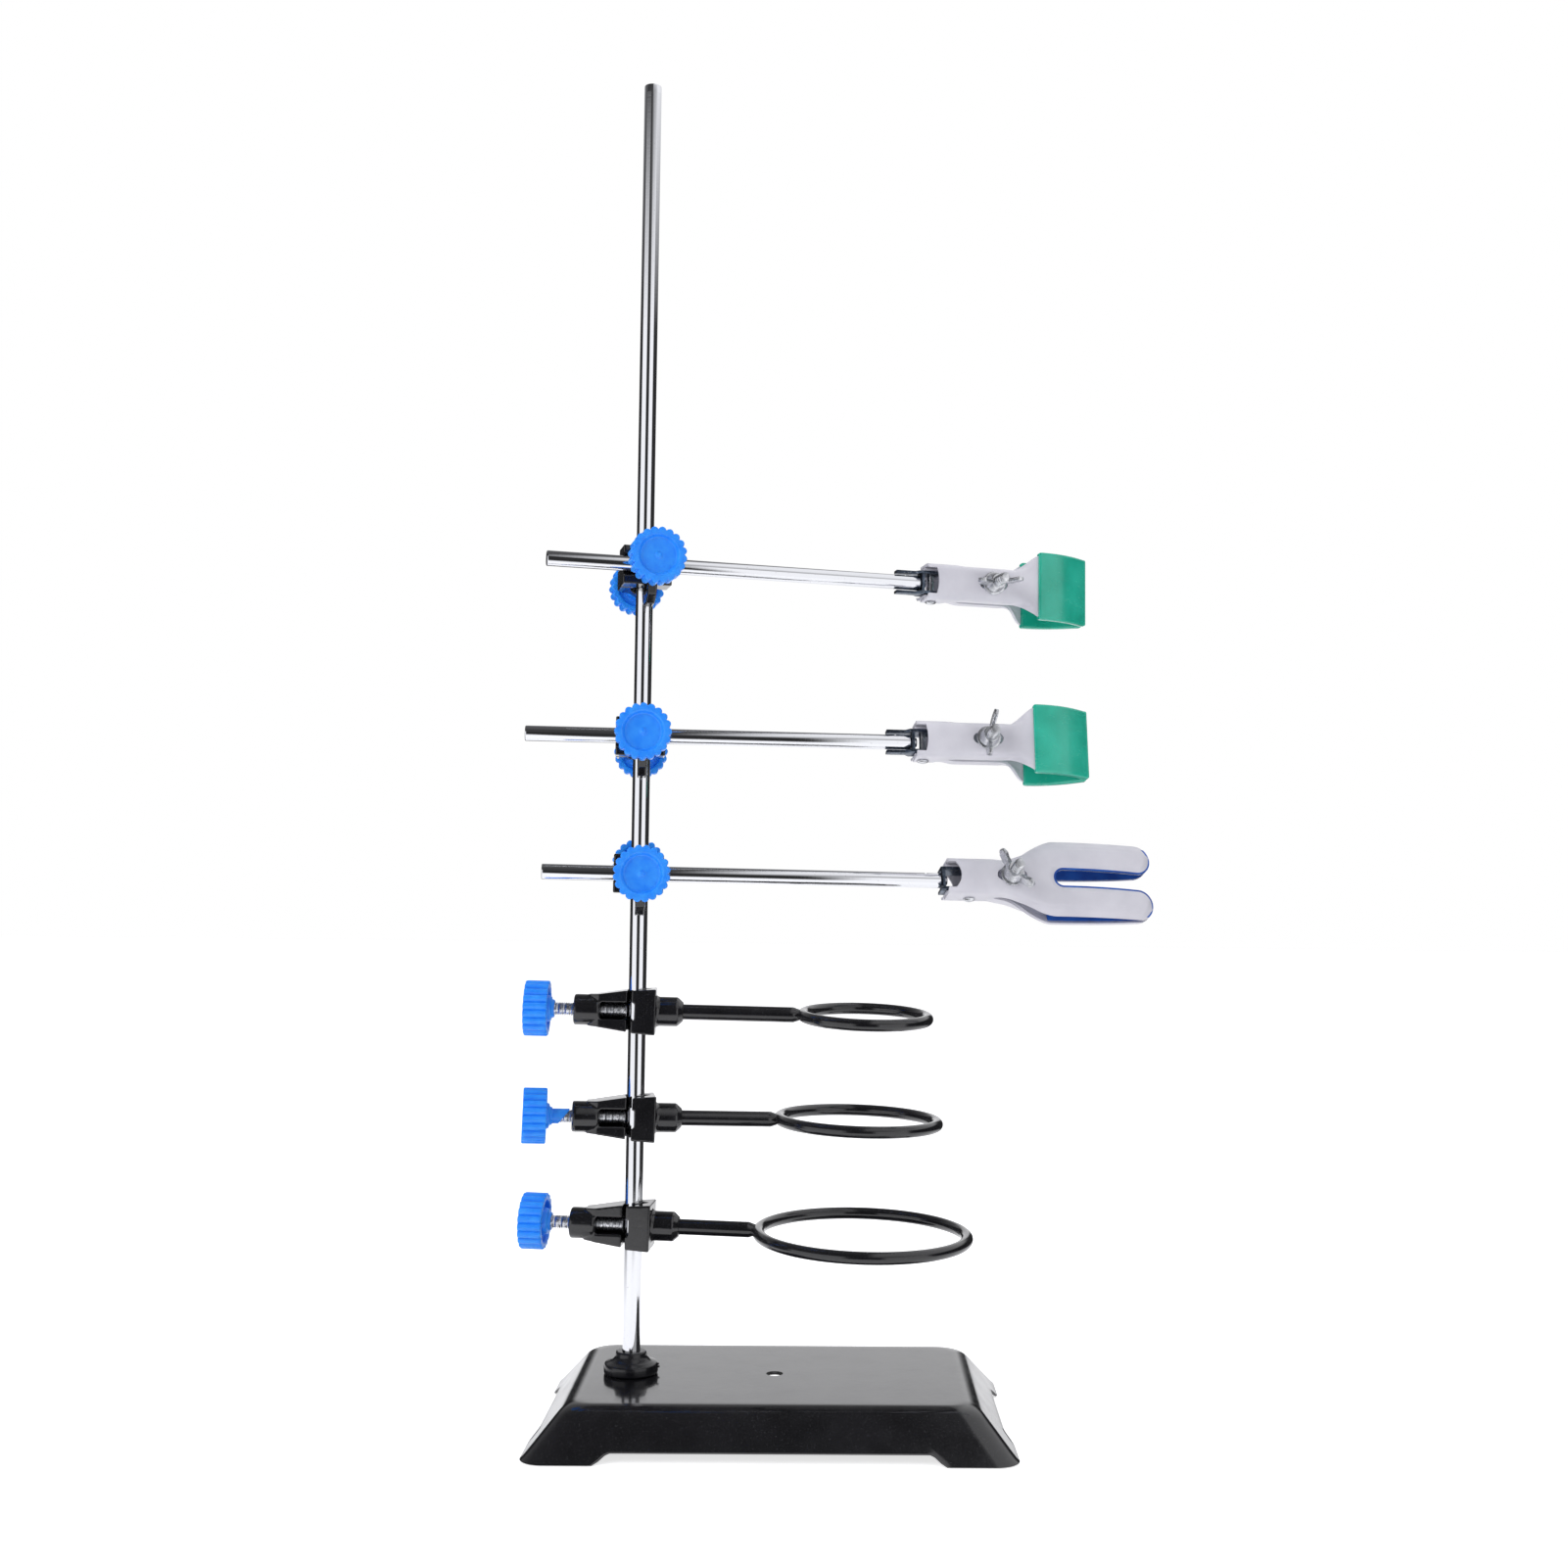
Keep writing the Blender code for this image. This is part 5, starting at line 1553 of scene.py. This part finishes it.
    def _pin(self) -> bpy.types.Mesh:
        """Return the hinge rivet with its two domed heads."""
        seat = self.size.front_ear + 0.25 * MM
        half = [(0, seat + 1.05 * MM), (1.4 * MM, seat + 0.95 * MM), (2.3 * MM, seat + 0.6 * MM),
                (2.7 * MM, seat + 0.15 * MM), (2.6 * MM, seat), (self.size.pin, seat)]
        return Mesh.lathe(half + [(r, -z) for r, z in reversed(half)], 32)

    def _bolt(self, seat: float) -> bpy.types.Mesh:
        """Return the bolt along +Z: a threaded shank and a domed head behind the rear jaw."""
        dome = [(0, -seat), (4.5 * MM, -seat), (4.6 * MM, -seat - 0.5 * MM),
                (4.2 * MM, -seat - 1.7 * MM), (2.6 * MM, -seat - 2.5 * MM), (0, -seat - 2.6 * MM)]
        length = self.size.bolt_tip + seat
        thread = self.shop.threaded(length, self.size.bolt, self.size.bolt_pitch)
        return Mesh.joined(Mesh.lathe(dome, 32), Mesh.moved(thread, shift(z=-seat)))

    def _wing_nut(self, seat: float) -> bpy.types.Mesh:
        """Return a cast wing nut along +Z: a tapered hub with two ears."""
        top = seat + 6 * MM
        hub = Mesh.lathe([(0, top), (3.6 * MM, top), (4.7 * MM, seat), (0, seat)], 32)
        wing = [(3.0, 0.6), (7.0, 1.6), (10.0, 4.5), (11.4, 8.0), (10.4, 10.4), (8.0, 10.6),
                (6.0, 8.0), (3.0, 5.4)]
        outline = [(x * MM, seat + z * MM) for x, z in wing]
        ear = Mesh.moved(Mesh.plate(outline, -0.9 * MM, 0.9 * MM), UPRIGHT)
        other = Mesh.moved(ear.copy(), Matrix.Rotation(math.radians(180), 4, "Z"))
        solid = Mesh.combined(hub, ("UNION", ear), ("UNION", other))
        skin = Mesh.cast(solid, 0.3 * MM, 3)
        bore = Mesh.bar(self.size.bolt + 0.1 * MM, seat - 1 * MM, top + 4 * MM, 0, 32)
        return Mesh.combined(skin, ("DIFFERENCE", bore))


# ---------------------------------------------------------------- studio

class Studio:
    """The camera, the floor and the light."""

    POSITION = (84.044 * MM, -815.347 * MM, 242.5 * MM)
    YAW = 0.01625
    PITCH = 0.05571
    ROLL = 0.01071
    LENS = 40.59
    SHIFT = (-0.04347, 0.0)
    WALLS = ((-180, 1.0), (-169, 1.0), (-165, 0.03), (-84, 0.03), (-76, 1.1), (-22, 1.1),
             (-15, 0.03), (18, 0.03), (24, 1.1), (68, 1.1), (75, 0.03), (165, 0.03),
             (169, 1.0), (180, 1.0))
    ROOF_LEFT = ((-180, 1.0), (-60, 0.8), (0, 0.20), (25, 0.06), (45, 0.045), (62, 0.085),
                 (110, 0.11), (150, 0.30), (164, 0.9), (180, 1.0))
    ROOF_RIGHT = ((-180, 1.0), (-60, 0.8), (0, 0.30), (25, 0.34), (42, 0.70), (60, 1.0),
                  (110, 1.0), (150, 0.90), (164, 0.9), (180, 1.0))
    SOFT = (0.42, 0.42, 0.44, 1)

    def __init__(self, foot: Matrix) -> None:
        """Keep the rod's foot, from which the camera stands."""
        self.foot = foot

    def build(self) -> None:
        """Add everything."""
        self._camera()
        self._floor()
        self._world()
        self._lights()

    def _camera(self) -> None:
        """Add the camera."""
        data = bpy.data.cameras.new("camera")
        data.lens = self.LENS
        data.sensor_width = 36
        data.shift_x, data.shift_y = self.SHIFT
        data.clip_end = 20
        yaw, pitch, roll = self.YAW, self.PITCH, self.ROLL
        ahead = Vector((math.sin(yaw) * math.cos(pitch), math.cos(yaw) * math.cos(pitch),
                        math.sin(pitch)))
        right = Vector((math.cos(yaw), -math.sin(yaw), 0))
        up = right.cross(ahead)
        turned_right = right * math.cos(roll) + up * math.sin(roll)
        turned_up = up * math.cos(roll) - right * math.sin(roll)
        rotation = Matrix((turned_right, turned_up, -ahead)).transposed().to_4x4()
        camera = bpy.data.objects.new("camera", data)
        bpy.context.scene.collection.objects.link(camera)
        camera.matrix_world = self.foot @ Matrix.Translation(self.POSITION) @ rotation
        bpy.context.scene.camera = camera

    @staticmethod
    def _floor() -> None:
        """Add the pale floor, which fades in reflections away from the stand."""
        mesh = Mesh.box((-6, -6, -0.02), (6, 6, -0.0002))
        floor = bpy.data.objects.new("floor", mesh)
        bpy.context.scene.collection.objects.link(floor)
        material = bpy.data.materials.new("floor_white")
        material.use_nodes = True
        kit = NodeTree(material.node_tree)
        shader = material.node_tree.nodes["Principled BSDF"]
        shader.inputs["Base Color"].default_value = (0.90, 0.90, 0.91, 1)
        shader.inputs["Roughness"].default_value = 0.6
        shader.inputs["Emission Color"].default_value = (1, 1, 1, 1)
        where = kit.add("ShaderNodeTexCoord").outputs["Object"]
        parts = kit.add("ShaderNodeSeparateXYZ", {0: where})
        far = kit.add("ShaderNodeVectorMath", {0: where}, operation="LENGTH")
        away = kit.add("ShaderNodeMapRange", {"Value": far.outputs["Value"], "From Min": 0.30,
                                              "From Max": 0.60, "To Min": 0.0, "To Max": 1.0})
        ahead = kit.math("MULTIPLY", parts.outputs[1], -1.0)
        turn = kit.math("MULTIPLY_ADD", kit.math("ARCTAN2", parts.outputs[0], ahead),
                        0.5 / math.pi, 0.5)
        path = kit.add("ShaderNodeLightPath")
        share = kit.math("MULTIPLY", away.outputs[0], path.outputs["Is Glossy Ray"])
        glow = kit.math("MULTIPLY_ADD", path.outputs["Is Camera Ray"], 0.36, 0.34)
        kit.tree.links.new(glow, shader.inputs["Emission Strength"])
        walls = Studio._ramp(kit, turn, Studio.WALLS, -180, 360)
        dark = kit.add("ShaderNodeEmission", {0: walls, 1: 1.0})
        both = kit.add("ShaderNodeMixShader", {0: share, 1: shader.outputs[0],
                                               2: dark.outputs[0]})
        output = material.node_tree.nodes["Material Output"]
        kit.tree.links.new(both.outputs[0], output.inputs["Surface"])
        mesh.materials.append(material)

    @staticmethod
    def _ramp(kit: NodeTree, share: bpy.types.NodeSocket,
              stops: Sequence[tuple[float, float]], start: float,
              span: float) -> bpy.types.NodeSocket:
        """Return grey levels along a share.

        Args:
            kit: The node tree.
            share: The value from 0 to 1.
            stops: Angles in degrees and their levels.
            start: The angle at 0.
            span: The angle from 0 to 1.
        """
        ramp = kit.add("ShaderNodeValToRGB", {0: share})
        elements = ramp.color_ramp.elements
        for index, (angle, level) in enumerate(stops):
            place = (angle - start) / span
            element = elements[index] if index < 2 else elements.new(place)
            element.position = place
            element.color = (level, level, level * 1.02, 1)
        return ramp.outputs[0]

    def _world(self) -> None:
        """Give the world the studio's walls, flags and overhead light."""
        world = bpy.data.worlds.new("studio")
        bpy.context.scene.world = world
        world.use_nodes = True
        kit = NodeTree(world.node_tree)
        where = kit.add("ShaderNodeTexCoord").outputs["Generated"]
        parts = kit.add("ShaderNodeSeparateXYZ", {0: where})
        x, y, z = parts.outputs[0], parts.outputs[1], parts.outputs[2]
        ahead = kit.math("MULTIPLY", y, -1.0)
        turn = kit.math("MULTIPLY_ADD", kit.math("ARCTAN2", x, ahead), 0.5 / math.pi, 0.5)
        walls = self._ramp(kit, turn, self.WALLS, -180, 360)
        rise = kit.math("MULTIPLY_ADD", kit.math("ARCTAN2", z, ahead), 0.5 / math.pi, 0.5)
        side = kit.add("ShaderNodeMapRange", {"Value": x, "From Min": 0.08, "From Max": 0.19,
                                              "To Min": 0.0, "To Max": 1.0})
        left = self._ramp(kit, rise, self.ROOF_LEFT, -180, 360)
        right = self._ramp(kit, rise, self.ROOF_RIGHT, -180, 360)
        roof = kit.add("ShaderNodeMix", {0: side.outputs[0], 6: left, 7: right},
                       data_type="RGBA").outputs[2]
        share = kit.add("ShaderNodeMapRange", {"Value": z, "From Min": 0.30, "From Max": 0.42,
                                               "To Min": 0.0, "To Max": 1.0})
        room = kit.add("ShaderNodeMix", {0: share.outputs[0], 6: walls, 7: roof},
                       data_type="RGBA")
        path = kit.add("ShaderNodeLightPath")
        soft = kit.add("ShaderNodeMix", {0: path.outputs["Is Glossy Ray"],
                                         6: self.SOFT, 7: room.outputs[2]}, data_type="RGBA")
        seen = kit.add("ShaderNodeMix", {0: path.outputs["Is Camera Ray"], 6: soft.outputs[2],
                                         7: (1, 1, 1, 1)}, data_type="RGBA")
        output = world.node_tree.nodes["Background"]
        kit.tree.links.new(seen.outputs[2], output.inputs["Color"])
        output.inputs["Strength"].default_value = 1.0

    @staticmethod
    def _lights() -> None:
        """Add the softboxes, which light without showing in the chrome."""
        boxes = (
            ("key", (-0.9, -0.7, 0.9), (0.0, 0.0, 0.25), 0.8, 1.0, 7.5),
            ("fill", (1.1, -0.6, 0.6), (0.0, 0.0, 0.2), 0.6, 0.9, 2.0),
            ("top", (0.0, 0.2, 1.6), (0.0, 0.0, 0.2), 1.4, 1.0, 10.0),
        )
        for name, where, target, width, height, power in boxes:
            data = bpy.data.lights.new(name, "AREA")
            data.shape = "RECTANGLE"
            data.size = width
            data.size_y = height
            data.energy = power
            light = bpy.data.objects.new(name, data)
            bpy.context.scene.collection.objects.link(light)
            light.location = where
            aim = Vector(target) - Vector(where)
            light.rotation_euler = aim.to_track_quat("-Z", "Y").to_euler()
            light.visible_glossy = False


# ---------------------------------------------------------------- main


def main() -> None:
    """Build the stand's looks over the frame."""
    logging.basicConfig(level=logging.WARNING)
    LOG.setLevel(logging.INFO)
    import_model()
    low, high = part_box("rod")
    foot = shift((low[0] + high[0]) / 2, (low[1] + high[1]) / 2)
    bpy.context.scene.view_settings.view_transform = "Standard"
    shop = Workshop(Palette())
    BaseBuilder(shop, foot).build()
    thumbs = ThumbBuilder(shop)
    rings = RingBuilder(shop, thumbs, foot)
    for ring in RINGS:
        rings.build(ring)
    clamps = ClampBuilder(shop, thumbs, foot)
    for clamp in CLAMPS:
        clamps.build(clamp)
    Studio(foot).build()


if __name__ == "__main__":
    main()
